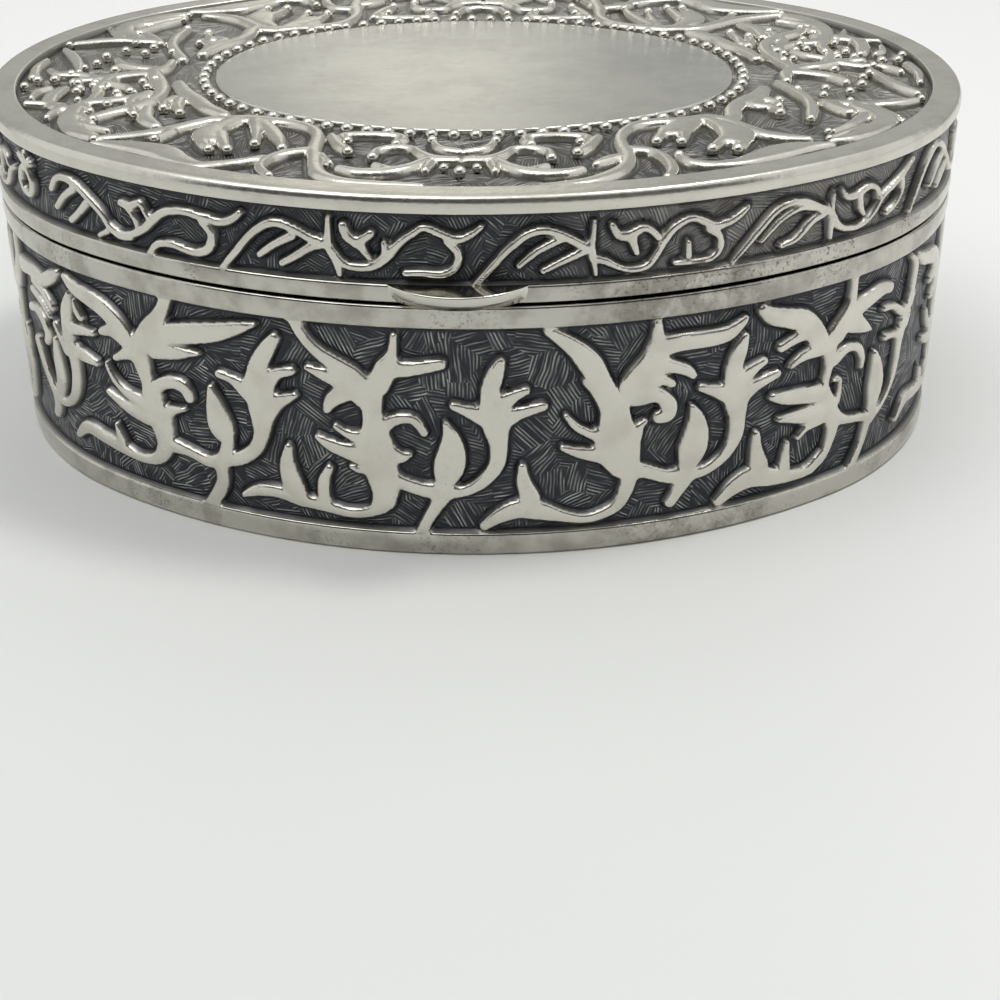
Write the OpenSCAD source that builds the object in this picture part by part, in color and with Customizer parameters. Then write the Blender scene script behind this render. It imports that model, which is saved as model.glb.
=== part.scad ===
// Oval hinged keepsake box in cast silver plate, with embossed scrollwork.
// Millimetres. The box stands on z = 0, its length is along X and its front faces -Y.
// Its ovals are built of four arcs, whose centres make 3-4-5 triangles.

/* [Box] */
// Length of the closed box, end to end
box_len = 122; // [100:0.5:150]
// Width of the closed box, front wall to back wall
box_wid = 95; // [78:0.5:118]
// Height of the base's side
base_h = 31.2; // [24:0.1:60]
// Height of the lid's side, from its lower edge to its flat rim
lid_h = 12.1; // [9:0.1:25]
// Slit between the base and the closed lid
lid_slit = 0.3; // [0.2:0.05:0.6]

/* [Castings] */
// Thickness of the side walls at their rims
wall = 2.4; // [1.8:0.1:3.6]
// Depth of the ground behind the scrolls, below the rims
ground_depth = 0.9; // [0.4:0.05:1.2]
// Height of the plain rim round the foot of the base
foot_rim = 2.85; // [1.5:0.05:5]
// Height of the plain rim round the mouth of the base
mouth_rim = 2.7; // [2.4:0.05:5]
// Height of the plain rim round the lower edge of the lid
lid_rim = 2.15; // [1.9:0.05:4]
// Height of the band round the upper edge of the lid
lid_band = 1.9; // [1.5:0.05:3]
// Chamfer on the edges of the plain rims
rim_chamfer = 0.25; // [0.1:0.05:0.5]
// Radius of the lid's upper outer edge
lid_edge_r = 0.7; // [0.3:0.05:1.2]
// Thickness of the plate that closes the base
floor_t = 1.2; // [0.8:0.1:2.5]
// Height of the floor plate above the foot of the wall
floor_recess = 0.8; // [0.4:0.1:2]
// Gap between the floor plate's edge and the wall
floor_fit = 0.05; // [0.02:0.01:0.1]

/* [Lid top] */
// Width of the flat rim round the top of the lid
top_rim = 3.55; // [2:0.05:6]
// Depth of the panel's ground below the flat rim
panel_depth = 0.9; // [0.5:0.05:1.2]
// Height of the scrolls above the panel's ground
scroll_h = 1.2; // [0.6:0.05:1.5]
// Gap between the scrolls and the edge of the panel
scroll_fit = 0.05; // [0.02:0.01:0.1]
// Length of the plain plaque in the middle
plaque_len = 65.7; // [50:0.1:80]
// Width of the plain plaque
plaque_wid = 48.6; // [38:0.1:58]
// Thickness of the plaque
plaque_t = 0.6; // [0.3:0.05:1.2]
// Chamfer round the plaque
plaque_chamfer = 0.2; // [0.1:0.05:0.3]
// Diameter of a bead
bead_d = 1.3; // [0.8:0.05:1.6]
// Number of beads round the plaque
bead_count = 74; // [40:1:90]
// Distance of the ring of beads outside the plaque
bead_offset = 1.35; // [0.9:0.05:2]
// Height of a bead's centre above the panel's ground
bead_rise = 0.45; // [0.3:0.05:0.8]

/* [Scrollwork] */
// Number of leaf groups round the base
leaf_groups = 12; // [8:1:16]
// Number of leaf groups round the lid's side
skirt_groups = 12; // [8:1:16]
// Steps between two knots of a scroll's line
scroll_steps = 2; // [1:1:4]

/* [Thumb lift] */
// Width of the lift at its upper edge
lift_w = 18.8; // [12:0.1:26]
// Undercut of the lift below its upper edge, where a finger goes
lift_undercut = 0.95; // [0.4:0.05:1.5]

/* [Hinge] */
// Length of the hinge
hinge_len = 25; // [18:0.5:34]
// Number of knuckles, those of the base and the lid in turn
knuckles = 5; // [3:2:9]
// Gap between two knuckles
knuckle_gap = 0.2; // [0.1:0.05:0.4]
// Diameter of a knuckle
knuckle_d = 2.2; // [1.8:0.05:3]
// Diameter of the hinge pin
pin_d = 1.2; // [0.8:0.05:1.4]
// Radial running clearance round the pin
pin_clear = 0.05; // [0.02:0.01:0.08]
// Thickness of the hinge leaves
leaf_t = 0.5; // [0.4:0.05:0.8]
// Height of a hinge leaf
leaf_h = 1.8; // [1.2:0.05:2]
// Gap between a leaf and the other side's knuckles
leaf_clear = 0.35; // [0.3:0.05:0.6]

/* [Lining] */
// Thickness of the velvet lining
velvet_t = 0.8; // [0.4:0.1:1.5]
// Gap between the lining and the metal
velvet_fit = 0.1; // [0.05:0.05:0.3]
// Height of bare metal above the lining, at the mouth of the base and of the lid
velvet_reveal = 0.6; // [0.3:0.1:2]

/* [Hidden] */
$fn = 96;

silver = "#b9b5a8";
dark_silver = "#8f8e88";
satin_silver = "#a9a8a0";
velvet = "#4a1220";
eps = 0.01;
big = 400;

// An oval is [half its length, half its width].
box_oval = [box_len / 2, box_wid / 2];
plaque_oval = [plaque_len / 2, plaque_wid / 2];

// Levels
lid_z = base_h + lid_slit;
top_z = lid_z + lid_h;
band_z = top_z - lid_band;
panel_z = top_z - panel_depth;
axis_z = base_h + lid_slit / 2;
floor_z = floor_recess + floor_t;

// Hinge
knuckle_r = knuckle_d / 2;
pin_r = pin_d / 2;
bore_r = pin_r + pin_clear;
axis_y = box_oval[1] + leaf_t + leaf_clear + knuckle_r;
hinge_reach = axis_y + knuckle_r;
knuckle_w = (hinge_len - (knuckles - 1) * knuckle_gap) / knuckles;

// The centres of an oval's arcs, and their radii
function end_x(o) = 1.5 * (o[0] - o[1]);
function side_y(o) = 2 * (o[0] - o[1]);
function end_r(o) = o[0] - end_x(o);
function side_r(o) = o[1] + side_y(o);
join = atan2(4, 3);

// Lengths of half an arc, and of the whole oval, at a distance u outside it
function end_half(o, u = 0) = (end_r(o) + u) * join * PI / 180;
function side_half(o, u = 0) = (side_r(o) + u) * (90 - join) * PI / 180;
function around(o, u = 0) = 4 * (end_half(o, u) + side_half(o, u));

// Place at the distance s along an oval, counted from the middle of its front: [x, y, heading]
function on_arc(cx, cy, r, a) = [cx + r * cos(a), cy + r * sin(a), a];
function along(o, s, u = 0) =
  let (whole = around(o, u))
  let (q = s - whole * floor(s / whole))
  let (half_turn = q > whole / 2)
  let (h = half_turn ? q - whole / 2 : q)
  let (p = h < side_half(o, u)
    ? on_arc(0, side_y(o), side_r(o) + u, -90 + h / side_half(o, u) * (90 - join))
    : h < side_half(o, u) + 2 * end_half(o, u)
      ? on_arc(end_x(o), 0, end_r(o) + u, ((h - side_half(o, u)) / end_half(o, u) - 1) * join)
      : on_arc(0, -side_y(o), side_r(o) + u,
          join + (h - side_half(o, u) - 2 * end_half(o, u)) / side_half(o, u) * (90 - join)))
  half_turn ? [-p[0], -p[1], p[2] + 180] : p;

// Sweeps the 2D profile round an oval. The profile's x is the distance outside the oval, its y is z.
module oval_sweep(o) {
  for (side = [-1, 1]) {
    difference() {
      translate([side * end_x(o), 0, 0]) turned(end_r(o)) children();
      for (s = [-1, 1]) side_wedge(o, s);
      translate([-big / 2 - side * big / 2, -big / 2, -big]) cube([big, big, 2 * big]);
    }
    intersection() {
      translate([0, -side * side_y(o), 0]) turned(side_r(o)) children();
      side_wedge(o, side);
    }
  }
}
module turned(r) {
  rotate_extrude() intersection() {
    translate([r, 0]) children();
    translate([0, -big]) square([big, 2 * big]);
  }
}
// The part of space that belongs to the arc of one side
module side_wedge(o, side) {
  tip = [0, -side * side_y(o)];
  linear_extrude(2 * big, center = true)
    polygon([tip, tip + [3, side * 4] * big / 8, tip + [-3, side * 4] * big / 8]);
}
// Upright ring between the distances u0 and u1, and the levels z0 and z1
module oval_ring(o, u0, u1, z0, z1) {
  oval_sweep(o) translate([u0, z0]) square([u1 - u0, z1 - z0]);
}
// Plate out to the distance u
module oval_plate(o, u, z0, z1) {
  oval_sweep(o) translate([-big / 2, z0]) square([big / 2 + u, z1 - z0]);
}

// A stroke is a list of knots [along, up, half-width]. Its line is smooth through the knots.
function knot(k, i) = k[min(max(i, 0), len(k) - 1)];
function between(a, b, c, d, t) =
  b + (c - a) * t / 2 + (2 * a - 5 * b + 4 * c - d) * t * t / 2 + (3 * b - a - 3 * c + d) * t * t * t / 2;
function line_of(k) = [
  for (i = [0:len(k) - 2])
    for (j = [0:scroll_steps - 1])
      between(knot(k, i - 1), k[i], k[i + 1], knot(k, i + 2), j / scroll_steps),
  k[len(k) - 1]
];
function heading(l, i) =
  let (d = knot(l, i + 1) - knot(l, i - 1))
  atan2(d[1], d[0]);
function off(p, a) = [p[0] + p[2] * cos(a), p[1] + p[2] * sin(a)];
function stroke_points(k) =
  let (l = line_of(k))
  let (n = len(l) - 1)
  concat(
    [for (i = [0:n]) off(l[i], heading(l, i) - 90)],
    [for (a = [-45, 0, 45]) off(l[n], heading(l, n) + a)],
    [for (i = [0:n]) off(l[n - i], heading(l, n - i) + 90)],
    [for (a = [135, 180, 225]) off(l[0], heading(l, 0) + a)]
  );

// Strokes of one leaf group round the base, from its stem, in millimetres of a group 28.6 long.
// They are a lyre of leaves on a trunk, a forked root, and a flower with a bud beside it.
leaf_strokes = [
  [[5.5, 29.5, 0.8], [4, 26, 1], [1.6, 22.6, 1.5], [0.8, 20, 1.5]],
  [[3, 23.6, 1.3], [8, 24.8, 1.3], [12.5, 25.6, 1.1], [16.6, 27.2, 0.3]],
  [[2.5, 21.4, 1.3], [6, 21.9, 0.9], [9.2, 22.4, 0.2]],
  [[-11.3, 27.3, 0.4], [-7, 25.7, 1.1], [-2.6, 23.6, 1.4], [-0.2, 20.6, 1.5]],
  [[-5.4, 22, 0.5], [-2.5, 22.4, 1], [0, 21, 1.3]],
  [[0.6, 21, 1.5], [1.3, 17.5, 1], [2.6, 13.5, 1.6], [3.4, 10, 1.2]],
  [[-5.2, 17.6, 0.3], [-3, 15, 0.7], [1.4, 13.6, 1.4]],
  [[-5.2, 13.8, 0.4], [-2, 12.6, 0.9], [2, 12.4, 1.5]],
  [[-12.3, 5.8, 0.5], [-8.5, 7.3, 0.9], [-2, 6.4, 0.7], [2.4, 7.4, 0.9], [3.4, 10, 1.2]],
  [[-4.4, 9.9, 0.25], [-3.6, 6.8, 0.9]],
  [[1.6, 15.2, 1], [3.6, 17.4, 0.8], [6.6, 17.8, 0.8], [7.6, 16.3, 0.6]],
  [[3, 12.8, 1], [4.8, 14.2, 0.7], [6.7, 14.6, 0.3]],
  [[3.6, 9.6, 1], [7.5, 8.9, 0.8], [11.4, 9, 0.9], [15.8, 10.8, 0.9], [17.2, 15.5, 1.4], [16.9, 19.5, 1.8]],
  [[11.4, 8.8, 0.9], [11.2, 5.6, 0.85], [8.6, 2.4, 0.8]],
  [[10.6, 18.4, 0.4], [11.6, 13.7, 1.7], [12, 9.4, 0.9]],
  [[11.9, 20.4, 0.5], [15.6, 18.8, 1.2], [17, 17.8, 1.2]],
  [[16.8, 19.5, 1.7], [17.3, 23, 1.2], [18.8, 26, 0.6]],
  [[17.6, 20.2, 1.2], [19.4, 21.7, 0.7], [21.2, 22.2, 0.5]],
  [[17.6, 17, 1.3], [19.6, 18.3, 0.8], [21.4, 19.2, 0.4]]
];
// Strokes of one leaf group round the lid's side: a comb leaf, a scroll with a curl, and a trefoil
skirt_strokes = [
  [[0, 33.4, 0.45], [3.4, 37.6, 0.5], [7, 39.6, 0.5], [12, 37.8, 0.55]],
  [[4.6, 35.8, 0.35], [8.4, 38.2, 0.5]],
  [[7.2, 35.1, 0.35], [12, 37.6, 0.5]],
  [[12.4, 40.8, 0.25], [12.7, 37.4, 0.55], [13.7, 34.4, 0.3]],
  [[12.7, 37.2, 0.5], [15.7, 35.3, 0.45], [18.6, 36.2, 0.5], [21.9, 39.4, 0.45], [24.8, 38.4, 0.45], [27.2, 40.1, 0.3]],
  [[23.8, 38.6, 0.45], [25.5, 36.6, 0.45], [23.8, 34.8, 0.4], [20.2, 34.7, 0.3]],
  [[14.3, 39.9, 0.4], [15.8, 38.1, 0.6], [17.3, 39.2, 0.4]],
  [[15.9, 38.2, 0.5], [17.1, 36.5, 0.3]]
];
// Strokes of a quarter of the lid's panel, seen from above at its right front
panel_strokes = [
  [[26.8, -20, 1.3], [20.4, -22.2, 1], [16.8, -27, 0.95], [16.9, -36, 1], [13.5, -42, 1], [8, -43.3, 0.7]],
  [[26.8, -20, 1.3], [32.1, -24.7, 1], [37.9, -29.4, 0.7]],
  [[23.5, -22.4, 1.3], [22.3, -25.5, 1.4], [20.6, -29.5, 0.8]],
  [[22.9, -23.5, 1.2], [23.2, -29.2, 0.7]],
  [[28, -22, 1.3], [29.6, -25.5, 1.6], [28.9, -31.7, 0.8]],
  [[28.6, -26, 1.2], [26.5, -31.7, 0.7]],
  [[17.6, -32.2, 0.7], [22.5, -36.3, 1.2], [28, -36.8, 1.6], [33.5, -33, 1.7], [39.4, -30.6, 0.7]],
  [[20.4, -35, 1], [20.8, -40.2, 0.6]],
  [[16, -33.5, 0.8], [13.2, -36.5, 0.5]],
  [[7, -31, 0.7], [8, -26.8, 0.8], [13, -26, 0.8], [14.6, -27.6, 0.6]],
  [[5.4, -32.6, 0.6], [8, -31, 0.8], [11.6, -33.4, 1]],
  [[35.4, -9, 0.7], [32.8, -13.6, 0.9], [30.4, -17.4, 1], [27.8, -20, 1.2]],
  [[36.8, -12.8, 0.7], [36.2, -19.3, 0.9]],
  [[36.5, -9, 0.7], [39.3, -16, 0.8], [39.2, -20.6, 0.6]],
  [[42, -14.2, 0.7], [44.2, -17.6, 0.6]],
  [[45.8, -15.8, 0.8], [49.6, -21.3, 1.1], [46.4, -25.8, 1.2], [41, -29.8, 0.8]],
  [[47.6, -23.4, 1.2], [43.6, -21, 0.7]],
  [[45.4, -26, 1.2], [41.4, -23.6, 0.7]],
  [[48.3, -15.5, 0.7], [53, -13.6, 0.7]],
  [[46, -15.8, 0.8], [46.2, -10, 0.9], [41.5, -5, 1.2], [38.6, 0, 1.3]],
  [[53, -13.4, 0.8], [55.8, -6.4, 1], [51, -2, 1.3], [46, 0, 1.2]]
];
// The strokes were drawn on a box of this half length and half width, with this plaque, this far out
// to the beads' outer edge, this width of the top rim, and its panels at these levels.
drawn_oval = [61, 47.5];
drawn_plaque = [32.85, 24.3];
drawn_beads = 2;
drawn_rim = 3.55;
drawn_base = [2.85, 28.5];
drawn_skirt = [33.65, 41.7];
drawn_groups = 12;

// Fits a stroke to a field of the height z0 to z1, on a group of the length given
function fitted(k, drawn, z0, z1, scale_s) =
  [for (p = k) [p[0] * scale_s, z0 + (p[1] - drawn[0]) * (z1 - z0) / (drawn[1] - drawn[0]), p[2]]];

// Carries a point from the curved side onto the flat plane that touches it at the distance s0
function flat_x(s0, s) =
  let (at = along(box_oval, s0))
  let (p = along(box_oval, s0 + s))
  cos(at[2] + 90) * (p[0] - at[0]) + sin(at[2] + 90) * (p[1] - at[1]);

// Scrollwork round a side, between the levels z0 and z1, on the ground that lies below the rims
module side_scrolls(strokes, drawn, z0, z1, groups, first) {
  group_len = around(box_oval) / groups;
  drawn_len = around(drawn_oval) / drawn_groups;
  middle = group_len / 6;
  intersection() {
    oval_ring(box_oval, -ground_depth, 0, z0, z1);
    union() {
      for (g = [0:groups - 1]) {
        s0 = (g + first) * group_len + middle;
        at = along(box_oval, s0);
        translate([at[0], at[1], 0]) rotate([90, 0, at[2] + 90])
          translate([0, 0, -group_len / 4]) linear_extrude(group_len / 3) offset(delta = eps)
            for (k = strokes) {
              fit = fitted(k, drawn, z0, z1, group_len / drawn_len);
              polygon([for (p = stroke_points(fit)) [flat_x(s0, p[0] - middle), p[1]]]);
            }
      }
    }
  }
}

module base_wall() {
  color(dark_silver) oval_sweep(box_oval) polygon([
    [-wall, 0], [-rim_chamfer, 0], [0, rim_chamfer],
    [0, foot_rim], [-ground_depth, foot_rim],
    [-ground_depth, base_h - mouth_rim], [0, base_h - mouth_rim],
    [0, base_h - rim_chamfer], [-rim_chamfer, base_h], [-wall, base_h]
  ]);
}

module base_relief() {
  color(silver)
    side_scrolls(leaf_strokes, drawn_base, foot_rim, base_h - mouth_rim, leaf_groups, 0.6);
}

module base_floor() {
  color(dark_silver) oval_plate(box_oval, -wall - floor_fit, floor_recess, floor_z);
}

module base_liner_wall() {
  outside = -wall - velvet_fit;
  color(velvet) oval_ring(box_oval, outside - velvet_t, outside, floor_z, base_h - velvet_reveal);
}

module base_liner_floor() {
  color(velvet)
    oval_plate(box_oval, -wall - 2 * velvet_fit - velvet_t, floor_z, floor_z + velvet_t);
}

// Knuckles of one side, with the webs that carry them. The base has the first and the last one.
module knuckle_row(first, web_z0, web_z1) {
  for (i = [first:2:knuckles - 1]) {
    x0 = -hinge_len / 2 + i * (knuckle_w + knuckle_gap);
    translate([x0, axis_y, axis_z]) rotate([0, 90, 0]) cylinder(h = knuckle_w, r = knuckle_r);
    difference() {
      translate([x0, 0, web_z0]) cube([knuckle_w, axis_y, web_z1 - web_z0]);
      oval_plate(box_oval, leaf_t / 2, -big / 2, big / 2);
    }
  }
}
module leaf(z0) {
  intersection() {
    oval_ring(box_oval, 0, leaf_t, z0, z0 + leaf_h);
    translate([-hinge_len / 2, 0, z0 - 1]) cube([hinge_len, big, leaf_h + 2]);
  }
}
module pin_bore() {
  translate([-hinge_len, axis_y, axis_z]) rotate([0, 90, 0]) cylinder(h = 2 * hinge_len, r = bore_r);
}

module hinge_base() {
  color(silver) difference() {
    union() {
      leaf(base_h - rim_chamfer - leaf_h);
      knuckle_row(0, axis_z - knuckle_r, base_h - rim_chamfer);
    }
    pin_bore();
  }
}

module hinge_lid() {
  color(silver) difference() {
    union() {
      leaf(lid_z + rim_chamfer);
      knuckle_row(1, lid_z + rim_chamfer, axis_z + knuckle_r);
    }
    pin_bore();
  }
}

module hinge_pin() {
  color(dark_silver) translate([-hinge_len / 2, axis_y, axis_z])
    rotate([0, 90, 0]) cylinder(h = hinge_len, r = pin_r);
}

module lid_skirt() {
  color(dark_silver) oval_sweep(box_oval) polygon([
    [-wall, lid_z], [-rim_chamfer, lid_z], [0, lid_z + rim_chamfer],
    [0, lid_z + lid_rim], [-ground_depth, lid_z + lid_rim],
    [-ground_depth, band_z], [-wall, band_z]
  ]);
}

module skirt_relief() {
  color(silver)
    side_scrolls(skirt_strokes, drawn_skirt, lid_z + lid_rim, band_z, skirt_groups, 0.07);
}

// Top plate of the lid, with the panel's ground sunk into it
module lid_top() {
  color(dark_silver) difference() {
    oval_sweep(box_oval) difference() {
      translate([-big / 2, band_z]) square([big / 2, lid_band]);
      difference() {
        translate([-lid_edge_r, top_z - lid_edge_r]) square(2 * lid_edge_r);
        translate([-lid_edge_r, top_z - lid_edge_r]) circle(lid_edge_r);
      }
    }
    oval_plate(box_oval, -top_rim, panel_z, top_z + 1);
  }
}

module lid_top_relief() {
  color(silver) translate([0, 0, panel_z]) linear_extrude(scroll_h) offset(delta = eps)
    intersection() {
      for (right = [0, 1]) {
        for (back = [0, 1]) {
          mirror([right, 0]) mirror([0, back]) panel_quarter();
        }
      }
      polygon([for (i = [0:$fn]) oval_point(box_oval, i, -top_rim - scroll_fit)]);
    }
}
function oval_point(o, i, u) =
  let (p = along(o, i / $fn * around(o, u), u))
  [p[0], p[1]];
module panel_quarter() {
  for (k = panel_strokes) polygon(stroke_points([for (p = k) on_panel(p)]));
}
// Distance from the middle of an oval to a line at the distance u outside it, in the direction a
function reach(o, u, a) =
  let (c = abs(cos(a)))
  let (s = abs(sin(a)))
  let (t = end_x(o) * c + sqrt((end_r(o) + u) ^ 2 - (end_x(o) * s) ^ 2))
  t * s < (t * c - end_x(o)) * 4 / 3
    ? t
    : sqrt((side_r(o) + u) ^ 2 - (side_y(o) * c) ^ 2) - side_y(o) * s;
// Keeps a knot's share of the way from the beads to the rim
function on_panel(p) =
  let (a = atan2(p[1], p[0]))
  let (drawn_in = reach(drawn_plaque, drawn_beads, a))
  let (drawn_way = reach(drawn_oval, -drawn_rim, a) - drawn_in)
  let (new_in = reach(plaque_oval, bead_offset + bead_d / 2, a))
  let (way = reach(box_oval, -top_rim, a) - new_in)
  let (d = new_in + (norm([p[0], p[1]]) - drawn_in) * way / drawn_way)
  [d * cos(a), d * sin(a), p[2] * way / drawn_way];

// Round beads, sunk a little so that each sits on the panel's ground
module bead_ring() {
  color(silver) difference() {
    for (i = [0:bead_count - 1]) {
      at = along(plaque_oval, (i + 0.5) / bead_count * around(plaque_oval, bead_offset), bead_offset);
      translate([at[0], at[1], panel_z + bead_rise]) sphere(d = bead_d);
    }
    translate([-box_len, -box_wid, panel_z - bead_d]) cube([2 * box_len, 2 * box_wid, bead_d]);
  }
}

module plaque() {
  color(satin_silver) oval_sweep(plaque_oval) polygon([
    [-plaque_wid, panel_z], [0, panel_z], [0, panel_z + plaque_t - plaque_chamfer],
    [-plaque_chamfer, panel_z + plaque_t], [-plaque_wid, panel_z + plaque_t]
  ]);
}

// Crescent lip on the front of the lid's lower rim, leaning out towards its upper edge.
// It reaches as far in front of the box as the hinge reaches behind it.
module thumb_lift() {
  half = lift_w / 2;
  end_y = side_y(box_oval) - sqrt(side_r(box_oval) ^ 2 - half ^ 2);
  rise = hinge_reach + end_y;
  top_r = (half ^ 2 + rise ^ 2) / (2 * rise);
  centre_y = top_r - hinge_reach;
  low_r = centre_y + hinge_reach - lift_undercut;
  color(silver) difference() {
    translate([0, centre_y, lid_z + rim_chamfer])
      cylinder(h = lid_rim - rim_chamfer, r1 = low_r, r2 = top_r, $fn = 360);
    oval_plate(box_oval, 0, 0, 2 * top_z, $fn = 360);
    translate([-box_len, 0, 0]) cube([2 * box_len, box_wid, 2 * top_z]);
  }
}

module lid_liner_wall() {
  outside = -wall - velvet_fit;
  color(velvet) oval_ring(box_oval, outside - velvet_t, outside, lid_z + velvet_reveal, band_z);
}

module lid_liner_top() {
  color(velvet)
    oval_plate(box_oval, -wall - 2 * velvet_fit - velvet_t, band_z - velvet_t, band_z);
}

base_wall();
base_relief();
base_floor();
base_liner_wall();
base_liner_floor();
hinge_base();
hinge_pin();
lid_skirt();
skirt_relief();
lid_top();
lid_top_relief();
bead_ring();
plaque();
thumb_lift();
lid_liner_wall();
lid_liner_top();
hinge_lid();
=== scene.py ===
"""Looks of an oval hinged keepsake box in cast silver plate, with embossed scrollwork.

Lengths are millimetres until they go into Blender. An oval is made of four arcs, whose centres make 3-4-5
triangles. A place on a side is (s, u, z): the way round the box's oval from the middle of its front, the
distance outside that oval, and the level.
"""
import math

import bpy
import numpy as np
from mathutils import Matrix, Vector

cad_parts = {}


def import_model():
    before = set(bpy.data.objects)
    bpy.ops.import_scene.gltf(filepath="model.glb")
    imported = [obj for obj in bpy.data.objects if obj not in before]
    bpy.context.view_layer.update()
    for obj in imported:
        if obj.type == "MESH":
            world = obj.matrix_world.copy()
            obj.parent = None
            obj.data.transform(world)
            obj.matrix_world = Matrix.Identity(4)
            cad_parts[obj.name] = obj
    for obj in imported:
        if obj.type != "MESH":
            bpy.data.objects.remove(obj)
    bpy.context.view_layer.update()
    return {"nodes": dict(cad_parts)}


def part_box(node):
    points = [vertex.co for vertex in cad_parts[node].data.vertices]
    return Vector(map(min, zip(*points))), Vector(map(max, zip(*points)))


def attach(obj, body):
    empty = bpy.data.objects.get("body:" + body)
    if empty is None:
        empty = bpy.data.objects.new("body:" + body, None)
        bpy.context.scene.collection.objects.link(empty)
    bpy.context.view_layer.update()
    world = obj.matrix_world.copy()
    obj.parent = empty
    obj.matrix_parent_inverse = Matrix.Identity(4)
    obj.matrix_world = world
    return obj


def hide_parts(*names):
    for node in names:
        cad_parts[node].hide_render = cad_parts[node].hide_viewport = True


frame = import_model()
MM = 0.001

# ---------------------------------------------------------------- sizes


def span(node):
    """Lowest and highest corner of a CAD node, in millimetres."""
    low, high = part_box(node)
    return np.array(low) / MM, np.array(high) / MM


BOX_HALF = span("base_wall")[1][:2]
BASE_H = span("base_wall")[1][2]
LID_Z = span("lid_skirt")[0][2]
BAND_Z = span("lid_top")[0][2]
TOP_Z = span("lid_top")[1][2]
PLAQUE_HALF = span("plaque")[1][:2]
PANEL_Z, PLAQUE_Z = span("plaque")[0][2], span("plaque")[1][2]
LIFT_LOW, LIFT_HIGH = span("thumb_lift")
FLOOR_Z = span("base_floor")[1][2]

# Side castings
WALL = 2.4
FOOT_RIM = 2.85
MOUTH_RIM = 2.7
LID_RIM = 2.15
EDGE_R = 0.3
CROWN = 0.16
CROWN_FADE = 0.6
INNER_EDGE = 0.25
# The side of a scroll: depths inside its outline, and how far below its flat top the metal lies there
GROUND_DEPTH = 0.9
RELIEF_LEVELS = [-0.3, -0.1, 0.08, 0.26]
RELIEF_DEPTHS = [-GROUND_DEPTH, -0.6, -0.2, -0.08]
FLAT_FROM = 0.9

# Lid's top
TOP_RIM = 3.55
LID_EDGE_R = 0.7
LID_EDGE_UP = 1.15
# The wall between the rim and the sunk panel: distances outside its middle, and how far below the rim it
# lies on its middle
RIM_LEVELS = (-0.15, 0.0, 0.12)
RIM_DROP = 0.12
RIM_LEDGE = 0.3
ON_RIM = 2.0
SCROLL_H = 0.95
SCROLL_GROW = 0.1
SCROLL_OVER_RIM = 0.25
# Depths inside the outline of a scroll on the panel at which its round side gets a line of points
SCROLL_LEVELS = (0.0, 0.08, 0.24, 0.45)
NO_SCROLL = -1.5
PLAQUE_EDGE_R = 0.3
PLAQUE_COVER = 0.6
PLAQUE_CLEAR = 1.9

BEAD_R = 0.8
BEAD_OFFSET = 1.35
BEAD_COUNT = 74
BEAD_RISE = 0.3
STUD_RISE = 0.5
STUD_SHARE = 0.92

LIFT_SHARE = 0.8
LIFT_UNDERCUT = 0.95
LIFT_EDGE = 0.22
LIFT_ROOT = 0.3

VELVET_T = 0.8
VELVET_FIT = 0.1
VELVET_REVEAL = 0.6
VELVET_EDGE_R = 0.3

# Lengths of a mesh's cells
BASE_CELL = 0.3
SKIRT_CELL = 0.25
PANEL_CELL = 0.3
PLAIN_CELL = 1.2

# ---------------------------------------------------------------- ovals

JOIN = math.atan2(4, 3)


class Oval:
    """An oval of four arcs, with its half length and half width. Its first arc's middle is at the front."""

    def __init__(self, half):
        a, b = half
        self.end_x = 1.5 * (a - b)
        self.side_y = 2 * (a - b)
        self.end_r = a - self.end_x
        self.side_r = b + self.side_y
        end = 2 * self.end_r * JOIN
        side = 2 * self.side_r * (math.pi / 2 - JOIN)
        self.starts = np.cumsum([0, side / 2, end, side, end, side / 2])
        self.around = self.starts[-1]

    def place(self, s, u=0.0):
        """x and y at the way s round the oval, the distance u outside it."""
        way = np.mod(np.asarray(s, float), self.around)
        arc = np.searchsorted(self.starts[:-1], way, side="right") - 1
        cx = np.array([0, self.end_x, 0, -self.end_x, 0])[arc]
        cy = np.array([self.side_y, 0, -self.side_y, 0, self.side_y])[arc]
        r = np.where(arc % 2, self.end_r, self.side_r)
        first = np.array([-math.pi / 2, -JOIN, JOIN, math.pi - JOIN, math.pi + JOIN])[arc]
        heading = first + (way - self.starts[arc]) / r
        return cx + (r + u) * np.cos(heading), cy + (r + u) * np.sin(heading)

    def same_heading(self, other, s):
        """The way round this oval at which it heads as the other oval does at s."""
        return np.interp(np.mod(s, other.around), other.starts, self.starts)


BOX = Oval(BOX_HALF)
PLAQUE = Oval(PLAQUE_HALF)

# ---------------------------------------------------------------- strokes of the scrollwork
# A stroke is a list of knots (along, up, half-width). On the sides "along" runs round the box from the middle
# of its front. The front's four groups were drawn from the photograph; the other groups repeat them.

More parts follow.
